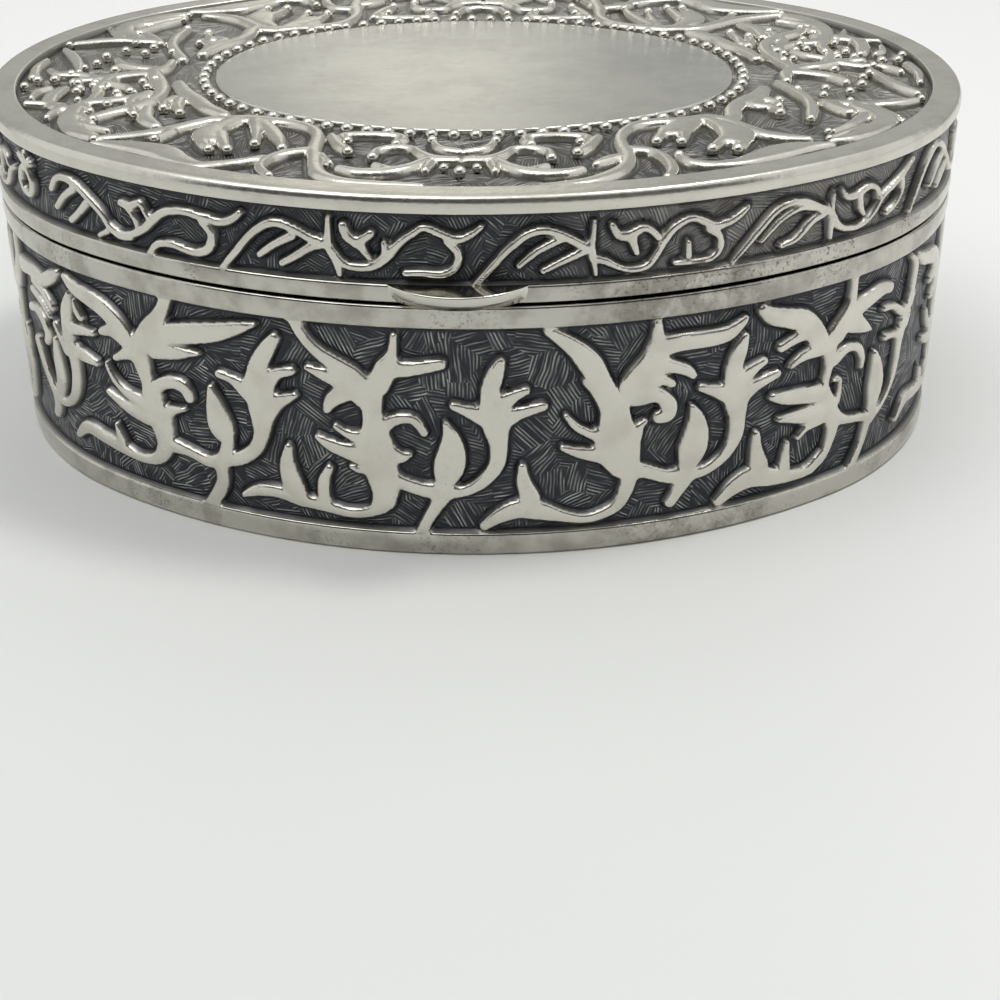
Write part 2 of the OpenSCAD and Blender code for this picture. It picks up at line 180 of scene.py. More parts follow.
BASE_LEFT_END = [
    [(-65, 25.2, 1.2), (-61.5, 25.5, 1), (-58.5, 25.3, .95), (-56.2, 26.4, .9), (-54.9, 27.2, .5)],
    [(-61.5, 24.2, .6), (-59, 23.6, .6), (-57, 22.1, .55)],
    [(-62.4, 22.8, .5), (-59.8, 21.9, .5), (-57.9, 20.6, .35)],
    [(-63.9, 19.8, .6), (-61.9, 20.3, .7), (-59.9, 19.3, .8), (-59.1, 17.8, .8), (-59.7, 16.7, .6)],
    [(-62.8, 15.5, 1), (-61.2, 12.5, .9), (-59.5, 10.3, .9)],
    [(-51.9, 24.6, .25), (-51.5, 23.5, .6), (-50.9, 22.7, .55)],
    [(-53.4, 18, 1.2), (-53.1, 15.5, .9), (-53.4, 13, .9), (-54.5, 10.8, .7), (-56.5, 9.4, .6),
     (-58.5, 9.5, .8)],
    [(-52.8, 25.2, .4), (-53.6, 23, 1), (-54, 21, 1), (-53.8, 19, 1.2)],
    [(-53.5, 20.5, .9), (-51.5, 20.9, .75), (-49, 21.1, .4)],
    [(-53.5, 17.9, 1), (-51, 17.6, .85), (-48.8, 17.3, .5)],
    [(-56.7, 20, .5), (-55.8, 18.8, .6), (-54.5, 17.3, .9)],
    [(-57.3, 17.8, .4), (-57.2, 15, 1), (-57, 12.5, 1.1), (-57.8, 10.2, .9)],
    [(-59, 9.5, .9), (-59, 8, .8), (-59.6, 6.8, .7)],
]
BASE_A = [
    [(-36.5, 29, .75), (-37.6, 26.5, .9), (-39.5, 24, 1.3), (-41.2, 21.5, 1.4)],
    [(-38.5, 23.6, 1.3), (-34.5, 24.6, 1.35), (-30.5, 25.5, 1.2), (-27.5, 26.5, .8), (-25.2, 27.3, .25)],
    [(-39, 21.6, 1.2), (-36, 21.9, .9), (-34, 22.2, .5), (-32.7, 22.4, .2)],
    [(-53.3, 27.3, .4), (-51.5, 26.3, .9), (-49, 25.7, 1.1), (-46.5, 24.9, 1.2), (-44.2, 23.3, 1.3),
     (-42.9, 21.6, 1.2)],
    [(-47.2, 21.9, .55), (-45.5, 22.4, .85), (-43.5, 22, 1.2)],
    [(-45.3, 19, .45), (-43.8, 19.8, .7), (-42, 20.6, 1.2)],
    [(-41.6, 20.8, 1.4), (-41, 19, 1.2), (-40.5, 17, .95), (-39.8, 15, 1.5), (-38.9, 12, 1.7),
     (-38.6, 10, 1.2)],
    [(-47, 17.8, .3), (-46, 16.2, .5), (-44.5, 15, .6), (-42.5, 14.3, .9), (-41, 13.8, 1.2)],
    [(-47.2, 14, .4), (-45.5, 13.3, .6), (-43.5, 12.7, .9), (-41, 12.7, 1.5)],
    [(-54.3, 5.8, .5), (-52, 7.6, .9), (-49, 7.3, .9), (-46, 6.9, .9), (-43.5, 6.4, .65), (-41.5, 6.5, .7),
     (-39.8, 7.2, .9), (-38.8, 8.6, 1.15), (-38.6, 10, 1.2)],
    [(-46.4, 9.8, .25), (-46, 8.5, .6), (-45.5, 7, .8)],
    [(-40.3, 15.3, 1.1), (-38.8, 17, .85), (-37, 17.9, .85), (-35.2, 17.7, .85), (-34.4, 16.4, .65)],
    [(-38.6, 13, 1.2), (-37.2, 14.1, .7), (-35.3, 14.7, .25)],
    [(-37.5, 9.5, 1), (-35, 9.2, .7), (-32.5, 8.6, .8), (-30.5, 9, 1)],
    [(-30.7, 8.5, .9), (-30.6, 6.5, .85), (-31.2, 4.8, .9), (-32.4, 3, .8), (-32.8, 2.4, .8)],
]
BASE_A_FLOWER = [
    [(-31.4, 18.4, .4), (-31, 16.5, 1.1), (-30.4, 13.7, 1.7), (-29.6, 12, .9), (-30, 10, .9)],
    [(-30.3, 9.2, .9), (-28, 9.9, .9), (-26, 11.5, .9), (-25.1, 13.5, 1), (-24.9, 15.5, 1.4),
     (-24.8, 17.5, 1.9), (-25.2, 19.5, 1.9)],
    [(-30.1, 20.4, .55), (-28.4, 20, .6), (-26.5, 18.9, 1.2)],
    [(-25.2, 19.5, 1.7), (-25.1, 22, 1.2), (-23.9, 24.4, 1), (-22.9, 25.9, .7)],
    [(-24.2, 20.3, 1.2), (-22.8, 21.6, .75), (-21, 22.2, .55)],
    [(-24.3, 17, 1.4), (-22.6, 18.2, .9), (-20.7, 19.2, .4)],
]
BASE_B = [
    [(-27.8, 5.1, .4), (-26, 6, .75), (-23.5, 6.3, .8), (-20.5, 5.7, .8), (-17.5, 5.3, .75),
     (-14.5, 4.8, .65), (-12, 5.2, .7), (-10, 6.5, .9)],
    [(-21.8, 12.4, .5), (-22, 10, 1), (-21.4, 7.5, 1.3), (-20.5, 6, 1)],
    [(-16.9, 10.3, .5), (-17.6, 8.5, .75), (-17.6, 6, .8)],
    [(-20.6, 29, .7), (-19.6, 27, .7), (-18, 25.2, .75), (-16, 23.8, 1), (-14, 22, 1.6), (-12.5, 20, 1.5)],
    [(-19.1, 22.9, .35), (-17.5, 22.4, .7), (-15.5, 21.7, 1)],
    [(-16.9, 17.9, .5), (-16.2, 19.2, .9), (-14.8, 20.2, 1.1)],
    [(-15.9, 15.9, .4), (-14.8, 15.2, .5), (-13, 14.6, .9)],
    [(-18.1, 14.3, .4), (-16.5, 13.4, .8), (-14.5, 12.8, 1), (-12.5, 12.5, 1.5)],
    [(-14.2, 10.9, .3), (-13.2, 10.6, .5), (-12, 11, .8)],
    [(-11.8, 20, 1.4), (-11.6, 17, 1.2), (-11.3, 14, 2), (-10.8, 11, 2), (-10.3, 8, 1.6), (-11, 6, 1)],
    [(-9.1, 27.5, .4), (-9.3, 25.5, .6), (-10, 23.5, 1.2), (-11, 21.5, 1.4)],
    [(-10, 23.6, 1.2), (-7.5, 23.6, .9), (-4, 24.3, .7)],
    [(-10.5, 16.2, .9), (-9, 17.3, .7), (-7, 17.4, .6), (-5.8, 15.8, .5)],
    [(-10, 13, 1.2), (-8.5, 12.6, .8), (-7.4, 12.9, .3)],
    [(-10.4, 9.8, 1.2), (-8.5, 9.3, .9), (-6, 8.5, .9), (-3.8, 8.2, 1.1)],
    [(-3.6, 8, 1.2), (-4.3, 6.5, .85), (-5.3, 4.6, .7), (-6, 3, .7)],
]
BASE_C = [
    [(8, 28, .6), (10.5, 26.2, 1), (12.6, 24, 1.4), (14, 21.5, 1.3), (15.3, 18.8, 1.5)],
    [(20.3, 27.9, .5), (20.4, 25.8, .9), (20, 23.4, 1.6), (18.3, 20.6, 2.1)],
    [(20.5, 24.9, 1.2), (23.5, 25.3, 1.1), (26.5, 25.2, 1.05), (29, 25.4, .95), (30.7, 26.4, .6),
     (31.2, 26.9, .4)],
    [(20, 23, 1.4), (22.5, 22.4, .8), (24.2, 21.7, .7), (25, 21, .5)],
    [(19.5, 21, 1.2), (21.3, 20.9, .6), (22.5, 20.3, .5)],
    [(18.5, 19.3, 1.3), (20.8, 19.1, .9), (22.2, 17.8, 1), (22.2, 16.6, 1), (21.2, 16.3, .8)],
    [(18.3, 14.3, 1), (18.9, 15.4, .5), (19.5, 16, .35)],
    [(15.8, 18.5, 1.6), (16, 16, 2), (16.4, 13.3, 2.7), (17.2, 11, 2)],
    [(18, 9.5, 1.1), (17.7, 7.5, .9), (16.7, 5.5, .75), (14.5, 4.4, .65), (12.5, 4.2, .6), (10, 4.8, .8),
     (7.5, 5.6, 1.2), (5, 5.9, 1.2), (2.6, 4.9, .9), (1.2, 3.8, .6)],
    [(5.4, 11.4, .5), (5.6, 9.5, .85), (6.4, 7.3, 1.2)],
    [(10.2, 17.6, .3), (11.4, 16.2, .5), (13, 15.2, .6), (14.8, 14.5, .9), (16, 14, 1.2)],
    [(10, 13.6, .4), (11.8, 12.9, .7), (14, 12.4, 1), (16, 12.4, 1.5)],
    [(12.4, 21.6, .5), (13.6, 20.4, .7), (15, 19, 1.1)],
    [(18, 10, 1.2), (20, 9.5, .9), (22.5, 8.5, .9), (24.8, 8.2, 1.1)],
    [(25, 8, 1.2), (24.3, 6.5, .85), (23.3, 4.9, .7)],
]
BASE_C_FLOWER = [
    [(25.3, 16.9, .4), (25.9, 15.3, 1), (26, 13.3, 1.6), (25.7, 11.5, 1.8), (25.2, 9.5, 1.1), (25, 8.3, 1)],
    [(25, 8.3, .9), (27.5, 8.4, .7), (29.8, 9.8, .8), (31.2, 12, .95), (31.3, 14.5, 1.1), (31, 16.5, 1.5),
     (30.8, 18.5, 1.7)],
    [(26.2, 19.2, .5), (27.8, 18.6, .75), (29.8, 17.8, 1.2)],
    [(30.6, 18.5, 1.5), (30.3, 21, 1.1), (30.8, 23, 1), (31.4, 24.6, .5)],
    [(31.5, 19.3, 1.1), (33, 20.4, .7), (34.3, 21, .5)],
    [(31.5, 17.3, 1.3), (33.5, 18.2, .8), (36.3, 19, .55)],
]
BASE_D = [
    [(33.5, 27.4, .7), (35, 26.4, 1.1), (37.5, 25.6, 1.25), (39.6, 24.8, 1.4), (41.4, 23, 1.4),
     (42.5, 21.3, 1.3)],
    [(36.6, 22.2, .6), (38.5, 22.9, .7), (40.8, 23.4, 1)],
    [(38.2, 19.5, .4), (40, 20.4, .7), (42.5, 20.7, 1)],
    [(36, 16, .5), (38, 15.5, .9), (41, 15.1, 1.1), (43.5, 14.7, 1.2)],
    [(37.4, 12.8, .4), (39.5, 12.6, .8), (42, 12.3, 1.2), (44, 12, 1.4)],
    [(40.5, 9.7, .4), (41.5, 10.6, .5), (43.5, 11.2, .8)],
    [(44, 20.5, 1.1), (44.2, 18, .6), (43.9, 15.5, .6), (44.6, 13.2, 1.2), (45.7, 11, 1.2), (46, 9.5, .9),
     (45.8, 8, .7), (44.8, 6, .7), (43, 4.7, .65)],
    [(29.7, 3.8, .7), (31.5, 5.2, 1.1), (34, 6, 1.4), (37, 5.3, 1.2), (40, 4.7, .8), (42.5, 4.7, .7),
     (44.5, 6, .7)],
    [(34.2, 11.6, .5), (34.4, 9.5, .85), (35, 7.3, 1.3)],
    [(38.9, 9.3, .35), (38.8, 7.8, .6), (38.8, 6, .9)],
    [(46.9, 28.3, .5), (46.9, 26, .6), (46.3, 24, 1.1), (45, 22, 1.4)],
    [(46.2, 13, .5), (46.5, 14.9, .3), (46.2, 15.9, .3), (45.4, 15.8, .25)],
]
BASE_D_RIGHT = [
    [(47.5, 24.3, 1.2), (50, 25, 1), (52.5, 25.6, .9), (53.9, 25.4, .8)],
    [(47.2, 23, 1.5), (49.3, 21.8, .9), (50.8, 21, .3)],
    [(45, 18.7, .9), (47, 19.6, .6), (49, 19.1, .6), (50, 17.5, .4), (50, 16.3, .25)],
    [(46, 10.8, 1.1), (48.5, 9.8, .6), (51, 9.3, .6), (53, 8.6, .8)],
    [(52.6, 8, .6), (52, 6, .6), (51, 4, .7), (50.3, 3, .7)],
]
BASE_D_FLOWER = [
    [(52.6, 17.3, .45), (53.2, 15.3, 1.1), (53.5, 13, 1.5), (53.4, 11, 1.1), (53.2, 9.2, .8)],
    [(53.3, 8.3, .5), (55.5, 9.8, .5), (57.2, 12, .5), (58, 14.5, .5), (58.1, 17, .6), (58.6, 19.5, .9)],
    [(54.5, 18.8, .5), (56.3, 18.6, .5), (58, 18, .8)],
    [(53.5, 22.8, .4), (55.5, 22.5, .5), (57.5, 21.3, .6), (59, 20.8, .8)],
    [(59, 27.8, .3), (60.3, 26.5, .5), (60.2, 24, .6), (59.3, 21, .8)],
    [(61, 22.9, .25), (60, 21.5, .6)],
    [(60.2, 20.4, .25), (59.3, 19, .6)],
]

# Strokes round the lid's side, drawn the same way
SKIRT_LEFT_COMB = [
    [(-53.6, 38.1, .4), (-52.5, 39.5, .45), (-50.7, 40, .5), (-48.8, 39.5, .5), (-46.8, 38.3, .5),
     (-45, 37, .5), (-44, 35.8, .5), (-42.5, 35, .5), (-41, 35.1, .5)],
    [(-52.9, 36.1, .4), (-51.3, 37.7, .45), (-49.5, 38.9, .5)],
    [(-50.4, 35.1, .45), (-49, 36.2, .45), (-47.5, 37.6, .5)],
    [(-45.8, 34.3, .3), (-44.5, 35, .4)],
]
SKIRT_LEFT_END = [
    [(-41.8, 38.9, .45), (-40.5, 38.8, .5), (-39, 39.4, .4), (-38.2, 38.3, .4), (-37.6, 37.7, .45)],
    [(-40.8, 38.5, .4), (-39.9, 37.4, .4), (-39.6, 36.3, .35)],
    [(-44, 35.7, .45), (-42.5, 35.1, .5), (-41, 35.3, .45), (-39, 36.3, .5), (-37.3, 37.8, .55),
     (-35.5, 39, .5), (-33, 39.4, .45), (-30.5, 39.1, .5), (-28.3, 38.9, .5), (-26.8, 39.5, .45),
     (-26, 40.2, .4)],
    [(-30.7, 38.6, .5), (-29.7, 37.3, .5), (-30.2, 35.6, .55), (-31.7, 34.9, .5), (-33.3, 35, .45),
     (-35, 35.3, .45), (-37, 35, .45), (-38.2, 33.8, .4)],
]
SKIRT_COMB_FOOT = [
    [(-57.4, 33.6, .35), (-56.2, 35.4, .4), (-54.8, 37, .4), (-53.2, 38.7, .45)],
]
SKIRT_RING = [
    [(-61.1, 37.6, .45), (-60.4, 38.9, .45), (-59, 39, .45), (-58.1, 37.6, .45), (-58.8, 36.1, .45),
     (-60.4, 36.2, .45), (-61.1, 37.4, .45)],
    [(-60.8, 40.5, .3), (-59.6, 40, .5), (-58, 39.9, .45)],
    [(-59.2, 41.1, .3), (-58.9, 40.2, .45), (-59.6, 39, .4)],
]
SKIRT_LEFT = [
    [(-28.5, 33.8, .4), (-27, 35.5, .45), (-25, 37.8, .45), (-23, 39.3, .5), (-21.3, 39.6, .5),
     (-19.5, 39, .5), (-18, 38.3, .5), (-16.5, 37.8, .55)],
    [(-23.9, 35.8, .4), (-22, 37.2, .45), (-20, 38.3, .5)],
    [(-21.3, 35.1, .4), (-19.8, 36, .45), (-18, 37.2, .5), (-16.5, 37.7, .5)],
    [(-16, 37.8, .5), (-15.9, 39.3, .35), (-15.8, 40.8, .25)],
    [(-15.8, 37.3, .5), (-15.2, 36, .45), (-14.8, 34.4, .3)],
    [(-15.6, 37, .5), (-14.4, 35.7, .45), (-12.8, 35.3, .45), (-11, 35.6, .5), (-9.5, 36.8, .6),
     (-8, 38.4, .45), (-6.5, 39.5, .4), (-5.4, 40.1, .4), (-3.6, 39.4, .45), (-2, 38.8, .45),
     (-.6, 39.3, .4), (.6, 40.2, .3)],
    [(-9.8, 38.2, .3), (-9.6, 37, .5)],
    [(-14.2, 39.9, .5), (-13.8, 38.8, .55), (-12.6, 38, .6)],
    [(-12.5, 38.2, .6), (-11.2, 39.2, .45)],
    [(-12.5, 38.2, .5), (-12, 37.2, .4), (-11.4, 36.4, .25)],
    [(-3, 38.6, .45), (-1.9, 37.2, .45), (-2.2, 35.7, .45), (-3.6, 34.9, .45), (-5.8, 35, .4),
     (-7.6, 34.9, .35)],
]
SKIRT_RIGHT = [
    [(0, 33.8, .35), (1.5, 35.5, .4), (3.5, 37.7, .45), (5.6, 39.3, .45), (7.6, 39.6, .45),
     (9.6, 38.8, .5), (12.2, 37.3, .5)],
    [(4.6, 35.8, .35), (6.6, 37.4, .4), (9, 38.6, .45)],
    [(7.2, 35.1, .35), (9, 36, .4), (12, 37.3, .5)],
    [(12.4, 37.6, .4), (12.7, 40.3, .2)],
    [(12.5, 37, .4), (12.9, 34.4, .25)],
    [(14.6, 39.8, .35), (15.3, 38.7, .5), (16.5, 38.5, .6), (18, 39.2, .45), (19, 38.8, .4),
     (19.8, 38, .4)],
    [(16.8, 38.3, .6), (17.2, 37, .4), (17.4, 36.5, .35)],
    [(12.5, 36.3, .4), (14, 35.8, .45), (15.5, 35, .35), (17, 34.6, .35), (18.7, 34.9, .4),
     (19.8, 36.3, .4), (20.6, 37.7, .45), (21.8, 39, .45), (23.5, 39.7, .4), (25, 39.2, .45),
     (26.3, 38.5, .5), (28, 38.7, .45), (29.3, 39.3, .4), (30.3, 40.1, .25)],
    [(25.8, 38.2, .5), (27, 37.2, .4), (27.1, 35.8, .4), (26, 34.8, .35), (24, 34.7, .3),
     (21.8, 34.8, .25)],
    [(23.3, 37, .3), (23.4, 35.5, .4)],
]
SKIRT_RIGHT_END = [
    [(28.8, 34, .25), (30, 35.2, .35), (32, 37.2, .4), (34, 39, .4), (36, 39.6, .4), (38, 39.3, .45),
     (40, 38.3, .5), (41.5, 37.6, .5)],
    [(32.3, 35.8, .25), (34.5, 37.8, .35), (37, 38.8, .4), (39, 38.5, .4)],
    [(35, 34.8, .3), (37, 35.3, .4), (39, 37, .5), (40.5, 37.5, .5)],
    [(41.7, 37.8, .4), (41.9, 39.8, .15)],
    [(41.8, 37, .4), (41.9, 34.3, .2)],
    [(43.2, 39.8, .2), (44, 38.8, .4), (45.5, 38.7, .45), (47.3, 39.3, .4), (48.7, 38.8, .35),
     (49.2, 38, .35)],
    [(46, 38.4, .4), (46.3, 37, .4), (46.8, 36.2, .3)],
    [(42, 37, .5), (43, 35.6, .45), (44.8, 34.9, .35), (46.8, 35, .35), (48.5, 36, .4), (49.8, 37.5, .4),
     (51.5, 38.3, .35)],
]
SKIRT_RIGHT_TIP = [
    [(51.5, 38.3, .35), (53.5, 39.3, .35), (55.5, 40.7, .25)],
    [(53.5, 39, .3), (53.6, 37.5, .35), (52.5, 36, .35), (51, 35.3, .3)],
]
SKIRT_RIGHT_COMB = [
    [(56, 34.2, .25), (57.2, 36.5, .4), (59, 39, .45), (61.5, 40.7, .45), (64, 40, .45), (66, 38.5, .4),
     (68, 37, .4), (69.6, 35.6, .4), (71.6, 35, .4)],
    [(60.9, 36, .35), (62.8, 37.8, .4), (64.8, 39, .4)],
    [(63.6, 35.1, .35), (65.2, 36.2, .4), (67, 37.4, .4)],
]

# Strokes on the lid's panel, seen from above: its right front and its left front. The back repeats them.
PANEL_RIGHT = [
    [(27.7, -19.6, 1.2), (25, -20.4, .9), (22, -20.9, .9), (19.6, -22.2, .8), (18.2, -24.6, .75),
     (17.7, -27.5, .8), (18, -30.5, .9), (18.4, -33.3, .9), (17.9, -36.5, .9), (16.3, -39.2, 1),
     (13.5, -41.6, .9), (9, -43.2, .7)],
    [(17.6, -33.2, .7), (16.2, -34.2, .8), (14.8, -35.6, .5)],
    [(26.4, -20.8, 1.1), (24.8, -22.8, 1.7), (23.7, -24.2, 1.7)],
    [(23, -24.4, .9), (22.3, -26, .6), (21.9, -27.5, .45)],
    [(25.1, -23.5, 1.1), (25, -25.8, .7), (24.7, -27.7, .4)],
    [(28.6, -20.8, .9), (30, -22.8, 1.4), (31, -25.3, 2.1), (30.8, -26.8, 1.9)],
    [(29.8, -26.5, .9), (28.6, -28.6, .7), (28, -30.2, .5)],
    [(31.6, -26.8, 1.2), (31.3, -28.9, .8), (30.7, -30.2, .5)],
    [(28.2, -19.4, 1.1), (30, -19.9, .9), (31.6, -21.9, .9), (33.8, -24.7, .95), (36.3, -26.2, .9),
     (39, -26.9, .65)],
    [(18.8, -30.7, .8), (21.2, -31.5, .7), (22.6, -34.2, .8), (23, -37.3, .75), (22.4, -39.8, .5)],
    [(24.1, -33, .6), (25.2, -34.9, .7), (27.5, -35.8, .8), (30.3, -35.1, 1), (32.8, -33.2, 1.5),
     (35.5, -31.1, 1.8), (38.5, -29.6, 1.2), (41.3, -28.8, .6)],
    [(36, -7.6, .9), (34.8, -10.6, 1.25), (32.6, -13.3, 1.1), (31.5, -16, 1.1), (31.3, -18.5, 1.1),
     (30.8, -20, .9)],
    [(35.2, -11.8, .9), (34.2, -13.6, 1), (35.4, -14.8, .7)],
    [(35.6, -11.6, .9), (36.9, -13, .6), (37.2, -14, .5)],
    [(35.8, -14.2, .6), (36.7, -16, .6), (36.9, -17.3, .5)],
    [(38.2, -5, .8), (39.8, -8.6, .8), (40.8, -11.6, .8), (41, -14.4, .8), (40.7, -17, .8),
     (40.2, -19.4, .6)],
    [(42.6, -12.7, .6), (43.8, -14.4, .9), (45.2, -16.4, .9)],
    [(42.8, -13, .6), (45.5, -13.5, .9), (48, -13.9, .8), (51, -13.2, .8), (53.8, -12, .6)],
    [(46.3, -14.8, 1), (48.3, -17.3, 1.4), (48.8, -20.2, 1.5), (46.8, -23.3, 1.4), (44.2, -26, 1.1),
     (41.6, -27.6, .5)],
    [(46.6, -18.2, .8), (44.5, -21.5, .6), (42.2, -24, .4)],
    [(46, -22.2, .7), (43.8, -24.4, .5), (41.7, -26.2, .4)],
    [(48, -14.6, .6), (49.8, -17.2, .5), (51, -19.8, .35)],
]
PANEL_LEFT = [
    [(-25.7, -20.4, 1.2), (-22.5, -21, .9), (-20, -22, .8), (-18, -23.6, .8), (-17, -25.6, .8),
     (-16.7, -28, .85), (-16.7, -31, .9), (-16.3, -34, .9), (-15.9, -37, .9), (-15, -39.6, 1),
     (-12.6, -41.6, .8), (-9, -42.5, .7), (-4, -43.1, .6)],
    [(-15.6, -33.3, .6), (-14.4, -35.6, .4)],
    [(-24.6, -21.4, 1), (-24.2, -24, .8), (-23.8, -26.6, .6), (-23.6, -29, .45)],
    [(-23.8, -22, 1.1), (-22.3, -24.8, 1), (-21.1, -27.8, .8), (-20.4, -30.6, .45)],
    [(-27.2, -21.2, 1.1), (-28.8, -23.5, 1.4), (-29.6, -26, 1.8), (-29.2, -27.6, 1.5)],
    [(-29.8, -27, 1.1), (-29.4, -29.4, .8), (-28.5, -31, .5)],
    [(-28.2, -26, 1.1), (-27.3, -28.8, .8), (-26.6, -31, .5)],
    [(-26.5, -20.5, 1.1), (-29.6, -20.6, .9), (-32, -22.3, .9), (-34.2, -24.3, .9), (-36.5, -25.8, .9),
     (-39.3, -27, .8), (-42, -27.9, .6)],
    [(-33.8, -25, .6), (-35.2, -27.4, .6)],
    [(-17.6, -31.6, .8), (-19.8, -32.6, .8), (-21.2, -34.2, .7), (-21.9, -37, .7), (-20.6, -39.8, .5)],
    [(-22, -34.2, .6), (-24, -35.4, .7), (-26.5, -36.4, .8), (-28.8, -36.8, 1), (-31.2, -35, 1.5),
     (-33.5, -32.4, 1.9), (-36.5, -30.9, 1.6), (-40, -29.9, 1), (-42, -29.6, .6)],
    [(-36.6, -6.2, .9), (-35, -10, 1.1), (-33, -13, 1.1), (-31.3, -16, 1.1), (-28.9, -18.6, .9)],
    [(-36, -12.4, .8), (-36.8, -14.2, .6), (-36.4, -16.2, .5)],
    [(-35.2, -13, .8), (-35, -15.4, .7), (-34.2, -17.8, .5)],
    [(-39.6, -10.4, .9), (-40.9, -13.8, .8), (-40.3, -16.6, .7), (-39.6, -18.8, .5)],
    [(-38.4, -16.6, .8), (-38, -20, 1.1), (-36.2, -22.8, .8)],
    [(-39.6, -10.6, .7), (-42, -12.6, .8), (-44.6, -13.6, 1), (-46.6, -14.6, .8), (-45.2, -17, .5)],
    [(-53.6, -14.4, .5), (-51, -14.7, .6), (-48.9, -15.4, .6)],
    [(-48.6, -15.8, .6), (-49.4, -17.8, .6), (-49.8, -19.6, .4)],
    [(-46.8, -15.6, .9), (-47.1, -19, 1.3), (-46.4, -22.4, 1.4), (-44.6, -25.6, 1.3), (-41.8, -28.2, .5)],
    [(-45.6, -19.4, .7), (-43.8, -22, .4)],
    [(-45.2, -22.2, .7), (-43.4, -23.6, .6), (-41.4, -24.7, .4)],
    [(-44.4, -24.8, .7), (-42.4, -26.4, .4)],
]
# Both sides of the panel's middle, of which the left was drawn
PANEL_MIDDLE = [
    [(-13.4, -28.6, .5), (-14, -26.8, .7), (-12.8, -26, .6), (-10, -25.9, .6), (-7.6, -26.4, .6),
     (-6.8, -27.8, .6), (-7.6, -29, .5)],
    [(-15.2, -26.5, .6), (-14, -29.8, .8), (-12.9, -31.7, .6)],
    [(-9.9, -33.5, .6), (-9.6, -31.6, .6), (-7.6, -30.4, .6), (-5.6, -30.9, .6), (-4.6, -32.6, .7),
     (-3, -34.2, .8), (-.6, -34.6, .7)],
    [(-13.2, -37.4, .6), (-11, -38.6, .8), (-8, -38.4, .9), (-5.6, -37, .8), (-4, -34.8, .7)],
    [(-9.4, -36.4, .5), (-7.6, -38, .7)],
    [(-3.8, -37.8, .5), (-3.4, -35.6, .7)],
    [(-3.4, -28.2, .5), (-2.6, -30.6, .6), (-.4, -31.8, .6)],
]
PANEL_END = [
    [(39.3, -3.5, .7), (39.6, -.6, .9), (41.5, 1.6, 1), (44, 2.6, 1), (47, 4.3, .9), (50, 5.2, .7)],
    [(40.5, 2, 1), (39.3, 5.5, 1.2), (38.2, 9, .95), (38.3, 12.5, .9), (40, 15.6, 1), (42.6, 18, .9),
     (44.6, 20.6, .6)],
    [(45.5, 4, .8), (46.3, 7.5, .9), (45.8, 11, .8), (46.4, 14.5, .7), (48.4, 16.6, .7), (50.3, 15.2, .7),
     (50.8, 12, .7), (50.3, 8.5, .6)],
    [(51.5, 14.5, .4), (51.6, 11.5, .6), (50.9, 8.8, .5)],
    [(40.8, -.2, .8), (43.2, -.9, .8), (45.4, -2.2, .8), (46.6, -4.2, .6)],
    [(50.4, .8, .5), (51.6, -3.2, .8), (53.2, -6.8, .8), (54.6, -9, .5)],
    [(55.6, 3.2, .8), (56.2, -.5, .7), (55.8, -4, .5)],
    [(46.8, 4.2, .8), (49.6, 2.6, .7), (52.4, 2.4, .7), (54.2, .4, .5)],
    [(41.6, 9.4, .5), (43, 7.6, .6), (45.4, 6, .6)],
    [(52.2, 8.2, .4), (53.4, 9.8, .6), (53.6, 12, .4)],
]
# Round studs at the tips of the panel's leaves: x, y, radius
PANEL_STUDS = [
    (21.8, -28, .75), (24.6, -28.1, .75), (27.9, -30.6, .8), (30.7, -30.6, .8), (24, -32.8, .7),
    (22.3, -40, .6), (37.3, -12.4, .7), (36.9, -17.3, .8), (40.2, -19.6, .7), (40.1, -7.9, .7),
    (43, -10.2, .7), (43.6, -7.4, .7), (46.4, -8.6, .7), (48.3, -5.7, .8), (45.9, -12.4, .6),
    (41.6, -24.3, .6), (41.4, -26.8, .6), (54.6, -11.4, .6), (-20.3, -31, .75), (-23.6, -29.5, .75),
    (-26.4, -31.4, .75), (-28.5, -31.4, .75), (-35.3, -27.9, .7), (-42.2, -28.1, .7), (0, -38.6, .8),
    (-36.5, -16.4, .75), (-34.2, -18.2, .75), (-39.5, -19, .7), (-48.4, -8.7, .75), (-47, -6.2, .75),
    (-45.7, -8.6, .75), (-43.5, -10.2, .7), (-42, -9.6, .7), (-40.2, -7.8, .7), (-20.5, -40, .6),
    (47, 7.4, .7), (49.2, 6.4, .75), (52.5, 4.8, .8), (54.6, 5.1, .8), (51, 2.4, .75), (45.8, .6, .8),
    (39.8, 4.6, .8), (41.2, 5.6, .7), (44, 20.9, .7), (47.6, 13.2, .6), (48.6, 9.6, .7),
    (42.8, 12.2, .8), (43.6, 14.8, .7), (55.6, 7.6, .7), (48.9, -2.6, .7), (50, -.6, .6),
]
# These stand on both sides of the middle
PANEL_MIDDLE_STUDS = [
    (-12.8, -32, .75), (-9.9, -33.9, .75), (-13.2, -28.4, .75), (-3.6, -28, .7), (-1.8, -37.2, .6),
    (-7.6, -29.4, .7),
]


def base_shift(s, z):
    """Carries the drawn strokes of the base to their places on the solved camera's view."""
    return s + 1.35 + 0.022 * z - 0.00012 * s * s


def skirt_shift(s, z):
    """Carries the drawn strokes of the lid's side to their places."""
    return s + 2.0


def shifted(strokes, shift, offset=0.0):
    return [[(shift(s, z) + offset, z, r) for s, z, r in knots] for knots in strokes]


def mirrored(knots, side_x, side_y):
    return [(side_x * x, side_y * y, r) for x, y, r in knots]


GROUP = BOX.around / 12


